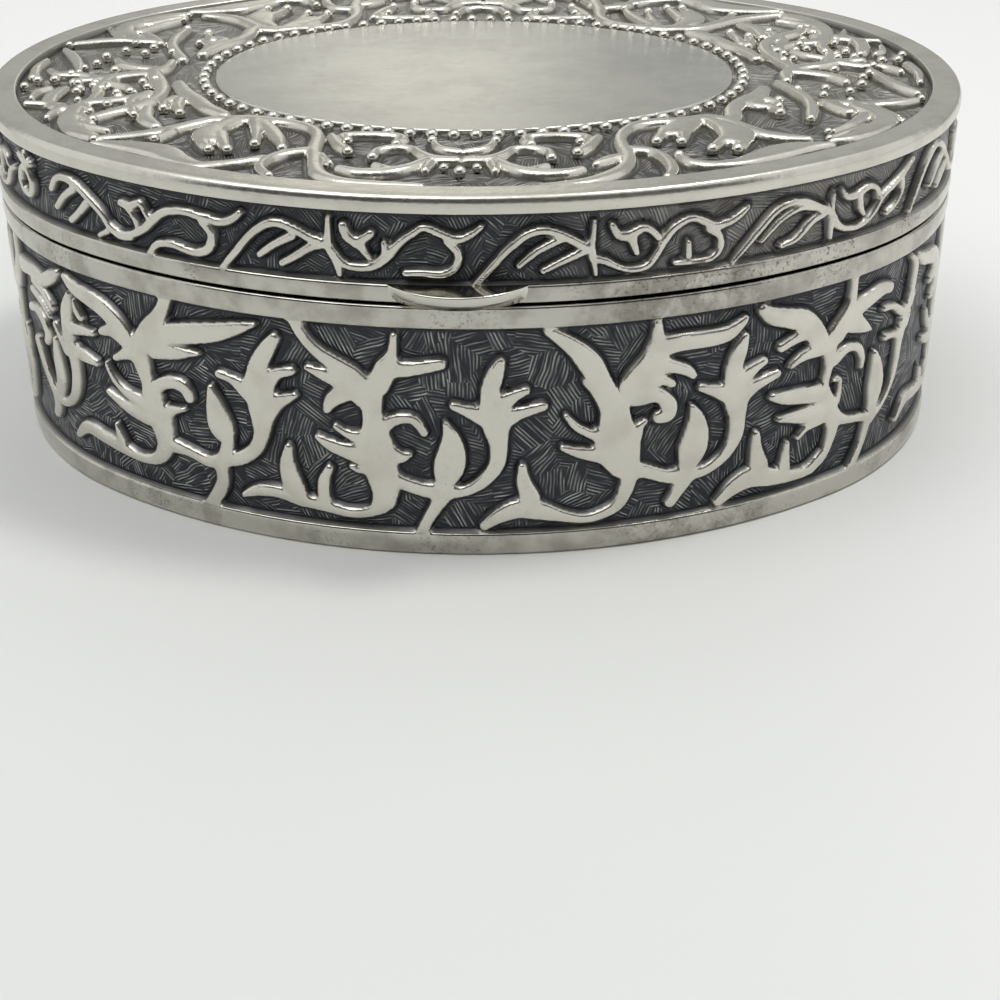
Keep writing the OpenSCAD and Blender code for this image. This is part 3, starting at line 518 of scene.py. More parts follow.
def base_strokes():
    """Twelve groups: the four of the front, and then the same four twice more."""
    front = BASE_A + BASE_A_FLOWER + BASE_B + BASE_C + BASE_C_FLOWER + BASE_D
    strokes = []
    for turn in range(3):
        offset = turn * 4 * GROUP
        strokes += shifted(front, base_shift, offset)
        strokes += shifted(BASE_C_FLOWER, base_shift, offset - GROUP)
        if turn < 2:
            strokes += shifted(BASE_D_RIGHT + BASE_D_FLOWER, base_shift, offset)
    return strokes + shifted(BASE_LEFT_END, base_shift)


def skirt_strokes():
    """Twelve groups, as on the base. The way on from the front's last group has a comb of its own."""
    strokes = shifted(SKIRT_RIGHT_COMB + SKIRT_RING, skirt_shift)
    for turn in range(3):
        front = SKIRT_LEFT_END + SKIRT_LEFT + SKIRT_RIGHT + SKIRT_RIGHT_END
        if turn != 1:
            front = front + SKIRT_LEFT_COMB
        front = front + (SKIRT_RIGHT_TIP if turn < 2 else SKIRT_COMB_FOOT)
        strokes += shifted(front, skirt_shift, turn * 4 * GROUP)
    return strokes


def panel_strokes():
    strokes = PANEL_RIGHT + PANEL_LEFT + PANEL_END + PANEL_MIDDLE
    strokes = strokes + [mirrored(knots, -1, 1) for knots in PANEL_MIDDLE]
    return strokes + [mirrored(knots, -1, -1) for knots in strokes]


def panel_studs():
    studs = PANEL_STUDS + PANEL_MIDDLE_STUDS + mirrored(PANEL_MIDDLE_STUDS, -1, 1)
    return studs + mirrored(studs, -1, -1)


# ---------------------------------------------------------------- fields


def smooth_line(knots, steps=6):
    """A smooth line through the knots, each with its half-width."""
    k = np.array([knots[0]] + list(knots) + [knots[-1]], float)
    t = np.linspace(0, 1, steps, endpoint=False)[:, None]
    out = []
    for a, b, c, d in zip(k[:-3], k[1:-2], k[2:-1], k[3:]):
        slope, bend, twist = c - a, 2 * a - 5 * b + 4 * c - d, 3 * b - a - 3 * c + d
        out.append(b + slope * t / 2 + bend * t**2 / 2 + twist * t**3 / 2)
    return np.vstack(out + [k[-1:]])


def depth_inside(px, pz, line):
    """How far each point lies inside a stroke's outline. Outside it is below zero."""
    a, b = line[:-1], line[1:]
    run = b[:, :2] - a[:, :2]
    length = np.maximum((run**2).sum(1), 1e-9)
    qx, qz = px[:, None] - a[:, 0], pz[:, None] - a[:, 1]
    t = np.clip((qx * run[:, 0] + qz * run[:, 1]) / length, 0, 1)
    gap = np.hypot(qx - t * run[:, 0], qz - t * run[:, 1])
    return (a[:, 2] + t * (b[:, 2] - a[:, 2]) - gap).max(1)


def smooth_max(a, b, blend):
    h = np.clip(0.5 + 0.5 * (a - b) / blend, 0, 1)
    return b + (a - b) * h + blend * h * (1 - h)


def draw_strokes(field, px, pz, strokes, blend, period=None, reach=1.2):
    """Joins strokes to a field of depths. A point that no stroke reaches keeps its depth."""
    for knots in strokes:
        line = smooth_line(knots)
        along = px
        if period:
            middle = line[:, 0].mean()
            along = np.mod(px - middle + period / 2, period) - period / 2 + middle
        grow = line[:, 2].max() + reach
        low, high = line[:, :2].min(0) - grow, line[:, :2].max(0) + grow
        near = (along > low[0]) & (along < high[0]) & (pz > low[1]) & (pz < high[1])
        if near.any():
            depth = depth_inside(along[near], pz[near], line)
            field[near] = smooth_max(field[near], depth, blend)
    return field


# ---------------------------------------------------------------- meshes


def ring(oval, s, u, z):
    """Points at the ways s round an oval, u outside it, at the level z."""
    x, y = oval.place(s, u)
    return np.stack([x, y, np.full(len(s), z)], 1)


def grid_faces(rows, columns):
    """Two triangles for each cell of a grid whose last column stands on its first."""
    r, c = np.mgrid[0:rows - 1, 0:columns - 1]
    a = (r * columns + c).ravel()
    b, d, e = a + 1, a + columns, a + columns + 1
    odd = ((r + c) % 2 == 1).ravel()
    one = np.where(odd[:, None], np.stack([a, b, e], 1), np.stack([a, b, d], 1))
    two = np.where(odd[:, None], np.stack([a, e, d], 1), np.stack([b, e, d], 1))
    return np.vstack([one, two])


def end_fans(rows, columns, middle):
    """Triangles that close a grid's first row to the point numbered middle, and its last row to the next."""
    first = np.arange(columns)
    last = first + (rows - 1) * columns
    return np.vstack([
        np.stack([first[1:], first[:-1], np.full(columns - 1, middle)], 1),
        np.stack([last[:-1], last[1:], np.full(columns - 1, middle + 1)], 1),
    ])


def cut_at(points, faces, level, nudge=0.012):
    """Cuts the triangles along the line where the last column of the points has this level."""
    d = points[:, -1]
    close = np.abs(d - level) < nudge
    d[close] = level + np.where(d[close] >= level, nudge, -nudge)
    above = d >= level
    count = above[faces].sum(1)
    crossed = (count == 1) | (count == 2)
    old, f = faces[~crossed], faces[crossed]
    up = above[f]
    odd = np.where(count[crossed] == 1, up.argmax(1), (~up).argmax(1))
    f = np.take_along_axis(f, (odd[:, None] + np.arange(3)) % 3, 1)
    edges = np.sort(np.vstack([f[:, [0, 1]], f[:, [0, 2]]]), 1)
    unique, where = np.unique(edges, axis=0, return_inverse=True)
    p, q = points[unique[:, 0]], points[unique[:, 1]]
    t = ((level - p[:, -1]) / (q[:, -1] - p[:, -1]))[:, None]
    m1, m2 = np.split(where.ravel() + len(points), 2)
    new = np.vstack([
        np.stack([f[:, 0], m1, m2], 1),
        np.stack([m1, f[:, 1], f[:, 2]], 1),
        np.stack([m1, f[:, 2], m2], 1),
    ])
    return np.vstack([points, p + t * (q - p)]), np.vstack([old, new])


def welded(xyz, faces):
    """Joins points that lie on each other, and drops triangles that this closes up."""
    places = np.round(xyz * 1e4).astype(np.int64)
    _, first, where = np.unique(places, axis=0, return_index=True, return_inverse=True)
    faces = where.ravel()[faces]
    good = (faces != np.roll(faces, 1, axis=1)).all(1)
    return first, faces[good]


def make_object(name, body, replaced, xyz, faces, flat=None, depth=None, sharp=40, weld=True):
    """A mesh object of triangles that rides on a body, in place of CAD nodes."""
    if weld:
        first, faces = welded(xyz, faces)
        xyz = xyz[first]
        flat = None if flat is None else flat[first]
        depth = None if depth is None else depth[first]
    mesh = bpy.data.meshes.new(name)
    mesh.from_pydata((xyz * MM).tolist(), [], np.asarray(faces).tolist())
    mesh.validate()
    if flat is not None:
        made = mesh.attributes.new("flat", "FLOAT_VECTOR", "POINT")
        made.data.foreach_set("vector", flat.astype(np.float32).ravel())
    if depth is not None:
        made = mesh.attributes.new("depth", "FLOAT", "POINT")
        made.data.foreach_set("value", depth.astype(np.float32))
    mesh.shade_smooth()
    mesh.set_sharp_from_angle(angle=math.radians(sharp))
    obj = bpy.data.objects.new(name, mesh)
    bpy.context.scene.collection.objects.link(obj)
    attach(obj, body)
    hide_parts(*replaced)
    return obj


def rounded_rim(z, low_rim, high_rim):
    """Where the outer face lies, by level: its rims are slightly rounded, and their outer edges more."""
    low, high = z[0], z[-1]
    near = np.minimum(z - low, high - z)
    t = np.clip((EDGE_R - near) / EDGE_R, 0, 1)
    u = -EDGE_R * (1 - np.sqrt(1 - t * t))
    for start, end in ((low, low_rim), (high_rim, high)):
        half = (end - start) / 2
        if half > EDGE_R:
            off = np.abs(z - start - half) / half
            u -= CROWN * np.where(off < 1, off**2, np.clip(1 - (off - 1) * half / CROWN_FADE, 0, 1))
    return u


def levels(low, high, fine_low, fine_high, cell):
    """Levels of a relief's rows: rounded edges, coarse over the rims, fine between."""
    edge = EDGE_R * (1 - np.cos(np.linspace(0, math.pi / 2, 5)))
    return np.concatenate([
        low + edge,
        np.arange(low + 0.5, fine_low - 0.1, 0.3),
        np.linspace(fine_low, fine_high, int((fine_high - fine_low) / cell) + 1),
        np.arange(fine_high + 0.3, high - 0.45, 0.3),
        high - edge[::-1],
    ])


def side_relief(z_rows, profile, strokes, low_rim, high_rim, cell, blend):
    """A ring of cast metal. Its outer face carries scrolls; the profile closes it round its back.

    z_rows are the levels of the outer face, and profile the (u, z) points that lead from its top back to
    its foot.
    """
    columns = int(round(BOX.around / cell)) + 1
    s = np.linspace(-BOX.around / 2, BOX.around / 2, columns)
    outer_u = rounded_rim(z_rows, low_rim, high_rim)
    uz = np.vstack([np.stack([outer_u, z_rows], 1), profile, [(outer_u[0], z_rows[0])]])
    rows = len(uz)
    grid_s = np.tile(s, rows)
    grid_u, grid_z = np.repeat(uz, columns, axis=0).T
    depth = np.ones(rows * columns)
    outer = slice(0, len(z_rows) * columns)
    field = np.clip(np.maximum(low_rim - grid_z[outer], grid_z[outer] - high_rim), NO_SCROLL, 3)
    depth[outer] = draw_strokes(field, grid_s[outer], grid_z[outer], strokes, blend, BOX.around)
    points = np.stack([grid_s, grid_u, grid_z, depth], 1)
    faces = grid_faces(rows, columns)
    for level in RELIEF_LEVELS:
        points, faces = cut_at(points, faces, level)
    s, u, z, depth = points.T
    drop = np.interp(depth, RELIEF_LEVELS + [FLAT_FROM], RELIEF_DEPTHS + [0.0])
    x, y = BOX.place(s, np.where(depth < 0.999, np.minimum(u, drop), u))
    return np.stack([x, y, z], 1), faces, np.stack([s, z, np.zeros(len(s))], 1), depth


def base_casting():
    low_rim, high_rim = FOOT_RIM, BASE_H - MOUTH_RIM
    z = levels(0, BASE_H, low_rim - 0.35, high_rim + 0.35, BASE_CELL)
    back = [(-WALL + INNER_EDGE, BASE_H), (-WALL, BASE_H - INNER_EDGE), (-WALL, BASE_H / 2)]
    back += [(-WALL, INNER_EDGE), (-WALL + INNER_EDGE, 0)]
    parts = side_relief(z, back, base_strokes(), low_rim, high_rim, BASE_CELL, 0.45)
    return make_object("base_casting", "base", ("base_wall", "base_relief"), *parts)


def lid_side():
    low_rim = LID_Z + LID_RIM
    z = levels(LID_Z, BAND_Z, low_rim - 0.3, BAND_Z, SKIRT_CELL)
    keep = (z <= BAND_Z - 1e-6) & (np.diff(np.append(z, 99)) > 1e-6)
    z = np.append(z[keep], BAND_Z)
    back = [(-WALL, BAND_Z), (-WALL, BAND_Z - 3), (-WALL, LID_Z + INNER_EDGE), (-WALL + INNER_EDGE, LID_Z)]
    parts = side_relief(z, back, skirt_strokes(), low_rim, BAND_Z, SKIRT_CELL, 0.3)
    return make_object("lid_side", "lid", ("lid_skirt", "skirt_relief"), *parts)


def panel_height(depth):
    """Height of a rounded scroll above the panel's ground, from the depth inside its outline."""
    edge = np.clip(depth / 0.6, 0, 1)
    dome = np.clip(depth / 1.7, 0, 1)
    return SCROLL_H * (0.68 * np.sqrt(1 - (1 - edge) ** 2) + 0.32 * np.sqrt(1 - (1 - dome) ** 2))


def lid_grid(s):
    """Rows of points (x, y, z, rim) from the lid's band to under the plaque, and how many the rim takes.

    rim is the distance outside the wall round the panel, and a constant on the rim and beyond it.
    """
    edge = [(-LID_EDGE_R + LID_EDGE_R * math.cos(a), TOP_Z - LID_EDGE_UP + LID_EDGE_UP * math.sin(a))
            for a in np.linspace(0, math.pi / 2, 10)]
    rings = [(-0.12, BAND_Z), (-0.02, BAND_Z + 0.2), (0.0, BAND_Z + 0.45)] + edge
    rings += [(-LID_EDGE_R - 0.9, TOP_Z), (-TOP_RIM + 0.7, TOP_Z), (-TOP_RIM + RIM_LEDGE, TOP_Z)]
    rows = [np.insert(ring(BOX, s, u, z), 3, ON_RIM, axis=1) for u, z in rings]
    rows[-1][:, 3] = RIM_LEDGE
    inner = ring(PLAQUE, PLAQUE.same_heading(BOX, s), -PLAQUE_COVER, PANEL_Z)
    outer = ring(BOX, s, -TOP_RIM + RIM_LEDGE, PANEL_Z)
    width = np.hypot(*(outer - inner)[:, :2].T)
    steps = int(width.max() / PANEL_CELL) + 1
    for k in range(1, steps + 1):
        rows.append(np.column_stack([outer + k / steps * (inner - outer), RIM_LEDGE - k / steps * width]))
    return rows, len(rings)


def lid_casting():
    """The lid's top: band, rounded edge, flat rim, and the panel with its scrolls and studs."""
    columns = int(round(BOX.around / PANEL_CELL)) + 1
    rows, rim_rows = lid_grid(np.linspace(0, BOX.around, columns))
    points = np.vstack(rows)
    x, y = points[:, 0], points[:, 1]
    scroll = np.full(len(points), NO_SCROLL)
    panel = slice((rim_rows - 1) * columns, None)
    scroll[panel] = draw_strokes(scroll[panel], x[panel], y[panel], panel_strokes(), 0.25) + SCROLL_GROW
    away = (x / (PLAQUE_HALF[0] + PLAQUE_CLEAR)) ** 2 + (y / (PLAQUE_HALF[1] + PLAQUE_CLEAR)) ** 2
    scroll[away < 0.96] = NO_SCROLL
    points = np.column_stack([points, scroll])
    faces = grid_faces(len(rows), columns)
    for level in SCROLL_LEVELS:
        points, faces = cut_at(points, faces, level)
    points = points[:, [0, 1, 2, 4, 3]]
    for level in RIM_LEVELS:
        points, faces = cut_at(points, faces, level)
    x, y, z, scroll, rim = points.T
    wall = np.interp(rim, RIM_LEVELS, (PANEL_Z, TOP_Z - RIM_DROP, TOP_Z))
    raised = np.minimum(PANEL_Z + panel_height(scroll), TOP_Z + SCROLL_OVER_RIM)
    z = np.where(rim < ON_RIM, np.maximum(wall, raised), z)
    faces = np.vstack([faces, end_fans(len(rows), columns, len(z))])
    xyz = np.vstack([np.stack([x, y, z], 1), [[0, 0, BAND_Z], [0, 0, PANEL_Z]]])
    depth = np.append(np.maximum(scroll, rim), [NO_SCROLL, NO_SCROLL])
    ball, ball_faces = ball_mesh(12, 8)
    for stud_x, stud_y, r in panel_studs():
        faces = np.vstack([faces, ball_faces + len(xyz)])
        xyz = np.vstack([xyz, ball * r * STUD_SHARE + (stud_x, stud_y, PANEL_Z + STUD_RISE)])
        depth = np.append(depth, np.ones(len(ball)))
    flat = xyz * (1, 1, 0)
    return make_object("lid_casting", "lid", ("lid_top", "lid_top_relief"), xyz, faces, flat, depth, sharp=50)


def swept(name, body, node, profile, oval=BOX, cell=PLAIN_CELL, closed=True):
    """A closed ring, or a plate, swept from (u, z) points round an oval."""
    columns = int(round(oval.around / cell)) + 1
    s = np.linspace(0, oval.around, columns)
    points = profile + profile[:1] if closed else profile
    xyz = np.vstack([ring(oval, s, u, z) for u, z in points])
    faces = grid_faces(len(points), columns)
    if not closed:
        faces = np.vstack([faces, end_fans(len(points), columns, len(xyz))])
        xyz = np.vstack([xyz, [(0, 0, points[0][1]), (0, 0, points[-1][1])]])
    return make_object(name, body, (node,), xyz, faces)


def arc_points(u, z, r, start, end, steps):
    """Points (u, z) on a quarter or half circle, angles in degrees."""
    turn = np.radians(np.linspace(start, end, steps))
    return [(u + r * math.cos(a), z + r * math.sin(a)) for a in turn]


def plaque():
    r = PLAQUE_EDGE_R
    profile = [(0, PANEL_Z)] + arc_points(-r, PLAQUE_Z - r, r, 0, 90, 6)
    return swept("plaque_plate", "lid", "plaque", profile, PLAQUE, 1.0, closed=False)


def ball_mesh(around, up):
    """Points and triangles of a ball of radius one."""
    a = np.linspace(0, 2 * math.pi, around, endpoint=False)
    b = np.linspace(-math.pi / 2, math.pi / 2, up + 1)[1:-1]
    points = [(math.cos(q) * math.cos(p), math.cos(q) * math.sin(p), math.sin(q)) for q in b for p in a]
    points = np.array(points + [(0, 0, -1), (0, 0, 1)])
    bottom, top, last = len(points) - 2, len(points) - 1, (up - 2) * around
    faces = []
    for i in range(around):
        k = (i + 1) % around
        faces += [(bottom, k, i), (top, last + i, last + k)]
        for row in range(0, last, around):
            faces += [(row + i, row + k, row + around + k), (row + i, row + around + k, row + around + i)]
    return points, np.array(faces)


def bead_places(share):
    """x and y at shares of the way along the line that lies the bead offset outside the plaque."""
    x, y = PLAQUE.place(np.linspace(0, PLAQUE.around, 4001), BEAD_OFFSET)
    run = np.concatenate([[0], np.cumsum(np.hypot(np.diff(x), np.diff(y)))])
    way = share * run[-1]
    return np.interp(way, run, x), np.interp(way, run, y)


def beads():
    ball, faces = ball_mesh(16, 10)
    x, y = bead_places((np.arange(BEAD_COUNT) + 0.5) / BEAD_COUNT)
    xyz = np.vstack([ball * BEAD_R + (px, py, PANEL_Z + BEAD_RISE) for px, py in zip(x, y)])
    faces = np.vstack([faces + n * len(ball) for n in range(BEAD_COUNT)])
    return make_object("bead_string", "lid", ("bead_ring",), xyz, faces, weld=False)


def thumb_lift():
    """Crescent lip at the front of the lid, thinning to nothing at both ends, undercut below."""
    half = LIFT_HIGH[0] * LIFT_SHARE
    front = -LIFT_LOW[1]
    low, high = LIFT_LOW[2], LIFT_HIGH[2]
    rise = front + BOX.side_y - math.sqrt(BOX.side_r**2 - half**2)
    r = (half**2 + rise**2) / (2 * rise)
    rows = []
    for x in half * np.sin(np.linspace(-math.pi / 2, math.pi / 2, 73)):
        wall = BOX.side_y - math.sqrt(BOX.side_r**2 - x**2)
        tip = (r - front) - math.sqrt(r * r - x * x)
        out = max(wall - tip, 0.0)
        foot = wall - max(out - LIFT_UNDERCUT, -0.25)
        tip = min(tip, wall + 0.02)
        bend = min(LIFT_EDGE, max(out, 0.02) / 2)
        outline = [(wall + LIFT_ROOT, low), (foot, low)]
        outline += [(tip + (foot - tip) * 0.35, low + (high - low) * 0.45)]
        outline += [(tip + bend - bend * math.cos(a), high - bend + bend * math.sin(a))
                    for a in np.linspace(0, math.pi / 2, 6)]
        outline += [(wall + LIFT_ROOT, high)]
        rows.append([(x, y, z) for y, z in outline])
    n = len(rows[0])
    last = (len(rows) - 1) * n
    faces = []
    for a in range(last):
        b = a // n * n + (a + 1) % n
        faces += [(a, a + n, b), (b, a + n, b + n)]
    for j in range(1, n - 1):
        faces += [(0, j, j + 1), (last, last + j + 1, last + j)]
    return make_object("thumb_lip", "lid", ("thumb_lift",), np.vstack(rows), faces, sharp=60, weld=False)


def velvet_pieces():
    """Linings with soft, rounded edges."""
    out = -WALL - VELVET_FIT
    inside = out - VELVET_T
    edge = inside - VELVET_FIT
    r = VELVET_T / 2
    base_top, lid_low = BASE_H - VELVET_REVEAL - r, LID_Z + VELVET_REVEAL + r
    wall = [(out, FLOOR_Z), (out, base_top)] + arc_points(out - r, base_top, r, 0, 180, 9)[1:]
    wall += [(inside, FLOOR_Z)]
    side = [(out, BAND_Z), (inside, BAND_Z), (inside, lid_low)]
    side += arc_points(out - r, lid_low, r, 180, 360, 9)[1:]
    bend = VELVET_EDGE_R
    floor_top = FLOOR_Z + VELVET_T - bend
    floor_edge = [(edge, FLOOR_Z), (edge, floor_top)] + arc_points(edge - bend, floor_top, bend, 0, 90, 5)[1:]
    top_low = BAND_Z - VELVET_T + bend
    top_edge = arc_points(edge - bend, top_low, bend, 270, 360, 5) + [(edge, BAND_Z)]
    return [
        swept("base_velvet_side", "base", "base_liner_wall", wall),
        swept("base_velvet_floor", "base", "base_liner_floor", floor_edge, closed=False),
        swept("lid_velvet_side", "lid", "lid_liner_wall", side),
        swept("lid_velvet_top", "lid", "lid_liner_top", top_edge, closed=False),
    ]


# ---------------------------------------------------------------- materials


class Nodes:
    """Short names for making the nodes of a material or a world."""

    def __init__(self, owner, output="OutputMaterial"):
        owner.use_nodes = True
        self.owner = owner
        self.tree = owner.node_tree
        self.tree.nodes.clear()
        self.output = self.node(output)

    def node(self, kind, inputs=None, **settings):
        made = self.tree.nodes.new("ShaderNode" + kind)
        for key, value in settings.items():
            setattr(made, key, value)
        for key, value in (inputs or {}).items():
            self.feed(made.inputs[key], value)
        return made

    def feed(self, socket, value):
        if isinstance(value, bpy.types.NodeSocket):
            self.tree.links.new(value, socket)
        else:
            socket.default_value = value

    def math(self, operation, *values, clamp=False):
        made = self.node("Math", operation=operation, use_clamp=clamp)
        for socket, value in zip(made.inputs, values):
            self.feed(socket, value)
        return made.outputs[0]

    def times(self, a, b):
        return self.math("MULTIPLY", a, b)

    def line(self, value, slope, start):
        return self.math("MULTIPLY_ADD", value, slope, start)

    def away(self, value, middle):
        return self.math("ABSOLUTE", self.math("SUBTRACT", value, middle))

    def mix(self, factor, a, b):
        return self.node("Mix", {0: factor, 6: a, 7: b}, data_type="RGBA").outputs[2]

    def mix_value(self, factor, a, b):
        return self.node("Mix", {0: factor, 2: a, 3: b}, data_type="FLOAT").outputs[0]

    def step(self, value, low, high):
        inputs = {"Value": value, "From Min": low, "From Max": high}
        return self.node("MapRange", inputs, interpolation_type="SMOOTHSTEP").outputs["Result"]

    def noise(self, vector, scale, detail=3.0, rough=0.55):
        inputs = {"Vector": vector, "Scale": scale, "Detail": detail, "Roughness": rough}
        return self.node("TexNoise", inputs).outputs[0]

    def axes(self, vector):
        return self.node("SeparateXYZ", {"Vector": vector}).outputs

    def vector(self, x, y, z=0.0):
        return self.node("CombineXYZ", {"X": x, "Y": y, "Z": z}).outputs[0]

    def millimetres(self):
        """Object coordinates in millimetres."""
        place = self.node("TexCoord").outputs["Object"]
        return self.node("VectorMath", {0: place, "Scale": 1 / MM}, operation="SCALE").outputs[0]

    def surface(self, colour, rough, height=None, metallic=1.0):
        """A shader, with a bump whose height is in millimetres."""
        inputs = {"Base Color": colour, "Metallic": metallic, "Roughness": rough}
        if height is not None:
            bump = self.node("Bump", {"Height": height, "Distance": MM, "Strength": 1.0})
            inputs["Normal"] = bump.outputs[0]
        return self.node("BsdfPrincipled", inputs)

    def finish(self, shader):
        self.feed(self.output.inputs["Surface"], shader.outputs[0])
        return self.owner


def new_material(name):
    return Nodes(bpy.data.materials.new(name))


SILVER = (0.66, 0.64, 0.575, 1)
# Worn silver, and also the painted light on the ground's grooves behind the front and to the right
WORN_AND_LIT = (0.50, 0.475, 0.42, 1)
# Painted reflection: the rims' darker tone stands for the dark things they mirror
RIM_DARK_REFLECTION = (0.36, 0.345, 0.31, 1)
DULL_TONE = (0.20, 0.185, 0.155, 1)
# Painted shade on the scrolls' steep sides
SIDE_SHADE_TONE = (0.22, 0.215, 0.20, 1)
SPECK_TONE = (0.12, 0.11, 0.09, 1)
# Oxide, and painted shade, along the foot of the scrolls
OXIDE_AND_SHADE = (0.040, 0.043, 0.050, 1)
GROOVE = (0.038, 0.041, 0.047, 1)
SIDE_TONES = (GROOVE, (0.54, 0.54, 0.53, 1))
SKIRT_TONES = (GROOVE, (0.54, 0.54, 0.52, 1))
PANEL_TONES = ((0.075, 0.075, 0.075, 1), (0.64, 0.63, 0.59, 1))


def hatching(n, flat, patch, pitch):
    """Fine engraved lines: patches, each with lines in its own direction. 1 is a ridge, 0 a groove."""
    bend = n.noise(flat, 0.25, 1.0)
    inputs = {0: n.vector(bend, bend), 1: (0.8, -0.8, 0), 2: flat}
    bent = n.node("VectorMath", inputs, operation="MULTIPLY_ADD").outputs[0]
    inputs = {"Vector": bent, "Scale": 1 / patch, "Randomness": 1.0}
    cells = n.node("TexVoronoi", inputs, voronoi_dimensions="2D")
    chance = n.node("SeparateColor", {"Color": cells.outputs["Color"]}).outputs
    angle = n.times(chance[0], math.pi)
    x, y, _ = n.axes(bent)
    cosine, sine = n.math("COSINE", angle), n.math("SINE", angle)
    across = n.math("ADD", n.times(x, cosine), n.times(y, sine))
    along = n.math("SUBTRACT", n.times(y, cosine), n.times(x, sine))
    wave = n.line(n.math("SINE", n.times(across, 2 * math.pi / pitch)), 0.5, 0.5)
    place = n.vector(n.math("DIVIDE", across, pitch), n.times(along, 0.3), n.times(chance[1], 40.0))
    return n.times(wave, n.step(n.noise(place, 0.8, 2.0), 0.36, 0.66))


def oxidised_ground(n, place, depth, way, lines, tones, oxide_and_shade_dark, back_lighten, right_lighten):
    """Colour of the dark, hatched ground, and of the scrolls' sides, with painted shade along the scrolls'
    foot and on their sides, and painted light on the grooves behind the front and to the right.
    """
    # Painted light: the grooves are painted lighter behind the front and to the right, where the light falls
    # from.
    behind = n.step(n.axes(place)[1], -30.0, -8.0)
    groove = n.mix(n.times(behind, back_lighten), tones[0], WORN_AND_LIT)
    right = n.times(n.step(way, 4.0, 30.0), n.step(way, 150.0, 110.0))
    groove = n.mix(n.times(right, right_lighten), groove, WORN_AND_LIT)
    bright = n.line(n.noise(place, 0.15), 1.6, 0.1)
    colour = n.mix(n.math("MULTIPLY", lines, bright, clamp=True), groove, tones[1])
    # Painted shade: the ground is darkened along the foot of each scroll, where shade falls, together with
    # the oxide that lies there.
    oxide_and_shade = n.step(n.away(depth, -0.4), 0.4, 0.05)
    colour = n.mix(n.times(oxide_and_shade, oxide_and_shade_dark), colour, OXIDE_AND_SHADE)
    # Painted shade: the scrolls' steep sides are painted mid-grey.
    return n.mix(n.times(n.step(depth, -0.32, -0.1), 0.6), colour, SIDE_SHADE_TONE)


def polished_relief(n, place, way, rim, tarnish):
    """Colour of the bright scrolls and of the rims, painted darker as a painted reflection of the dark things
    they mirror, with tarnish in patches and specks.
    """
    worn = n.step(n.noise(place, 0.22, 4.0), 0.42, 0.7)
    colour = n.mix(n.times(worn, 0.5), SILVER, WORN_AND_LIT)
    # Painted reflection: the rims are painted darker, more where worn, to stand for the dark things they
    # mirror.
    colour = n.mix(n.times(rim, n.line(worn, 0.6, 0.4)), colour, RIM_DARK_REFLECTION)
    dull = n.times(n.step(n.away(way, 26.0), 16.0, 5.0), rim)
    dull = n.times(dull, n.step(n.noise(place, 0.35, 4.0, 0.7), 0.36, 0.6))
    colour = n.mix(n.times(dull, 0.65), colour, DULL_TONE)
    speck = n.step(n.noise(place, 2.2, 5.0, 0.75), 0.53, 0.62)
    patchy = n.math("MAXIMUM", n.step(n.noise(place, 0.07, 2.0), 0.5, 0.62), dull)
    patchy = n.times(patchy, n.line(rim, 0.8, 0.2))
    return n.mix(n.times(n.times(speck, patchy), tarnish), colour, SPECK_TONE)


def cast_silver(name, patch, pitch, tones, edge_low, edge_high, tarnish, rims, oxide_and_shade_dark=0.75,
                back_lighten=0.0, right_lighten=0.0):
    """Polished relief on an oxidised, hatched ground. The depth attribute says where the scrolls lie.

    tones are the ground's groove and ridge, rims the levels above and below which the plain rims lie, and
    back_lighten and right_lighten how far the ground's grooves are painted lighter behind the front and to
    the right: painted light, from where the light falls.
    oxide_and_shade_dark is how dark the ground is painted along the foot of a scroll: oxide there, and
    painted shade.
    """
    n = new_material(name)
    depth = n.node("Attribute", attribute_name="depth").outputs["Fac"]
    flat = n.node("Attribute", attribute_name="flat").outputs["Vector"]
    place = n.millimetres()
    way, level, _ = n.axes(flat)
    raised = n.step(depth, edge_low, edge_high)
    lines = n.times(n.math("POWER", hatching(n, flat, patch, pitch), 1.3), n.step(depth, -0.3, -0.5))
    ground = oxidised_ground(n, place, depth, way, lines, tones, oxide_and_shade_dark, back_lighten, right_lighten)
    rim = n.math("MAXIMUM", n.math("LESS_THAN", level, rims[0]), n.math("GREATER_THAN", level, rims[1]))
    colour = n.mix(raised, ground, polished_relief(n, place, way, rim, tarnish))
    smooth = n.line(rim, -0.09, n.line(n.noise(place, 1.1, 5.0, 0.65), 0.2, 0.14))
    carved = n.times(n.math("SUBTRACT", 1.0, raised), lines)
    height = n.math("ADD", n.times(carved, 0.16), n.times(n.noise(place, 0.6, 2.0), 0.05))
    return n.finish(n.surface(colour, n.mix_value(raised, 0.4, smooth), height))


def plain_silver(name, tone, roughness, brush=0.0):
    """Smooth silver with faint wear, brushed along the box where asked."""
    n = new_material(name)
    place = n.millimetres()
    cloud = n.noise(place, 0.12, 4.0)
    colour = n.mix(n.step(cloud, 0.35, 0.75), tone, tuple(0.86 * c for c in tone[:3]) + (1,))
    rough = n.line(n.noise(place, 0.9, 5.0, 0.7), 0.14, roughness - 0.07)
    height = n.times(n.noise(place, 0.5), 0.02)
    if brush:
        stretch = n.node("Mapping", {"Vector": place, "Scale": (0.25, 9.0, 9.0)})
        height = n.math("ADD", height, n.times(n.noise(stretch.outputs[0], 1.0, 4.0, 0.7), brush))
    return n.finish(n.surface(colour, rough, height))


def steel():
    n = new_material("steel_pin")
    rough = n.line(n.noise(n.millimetres(), 2.0, 4.0), 0.2, 0.22)
    return n.finish(n.surface((0.52, 0.52, 0.51, 1), rough))


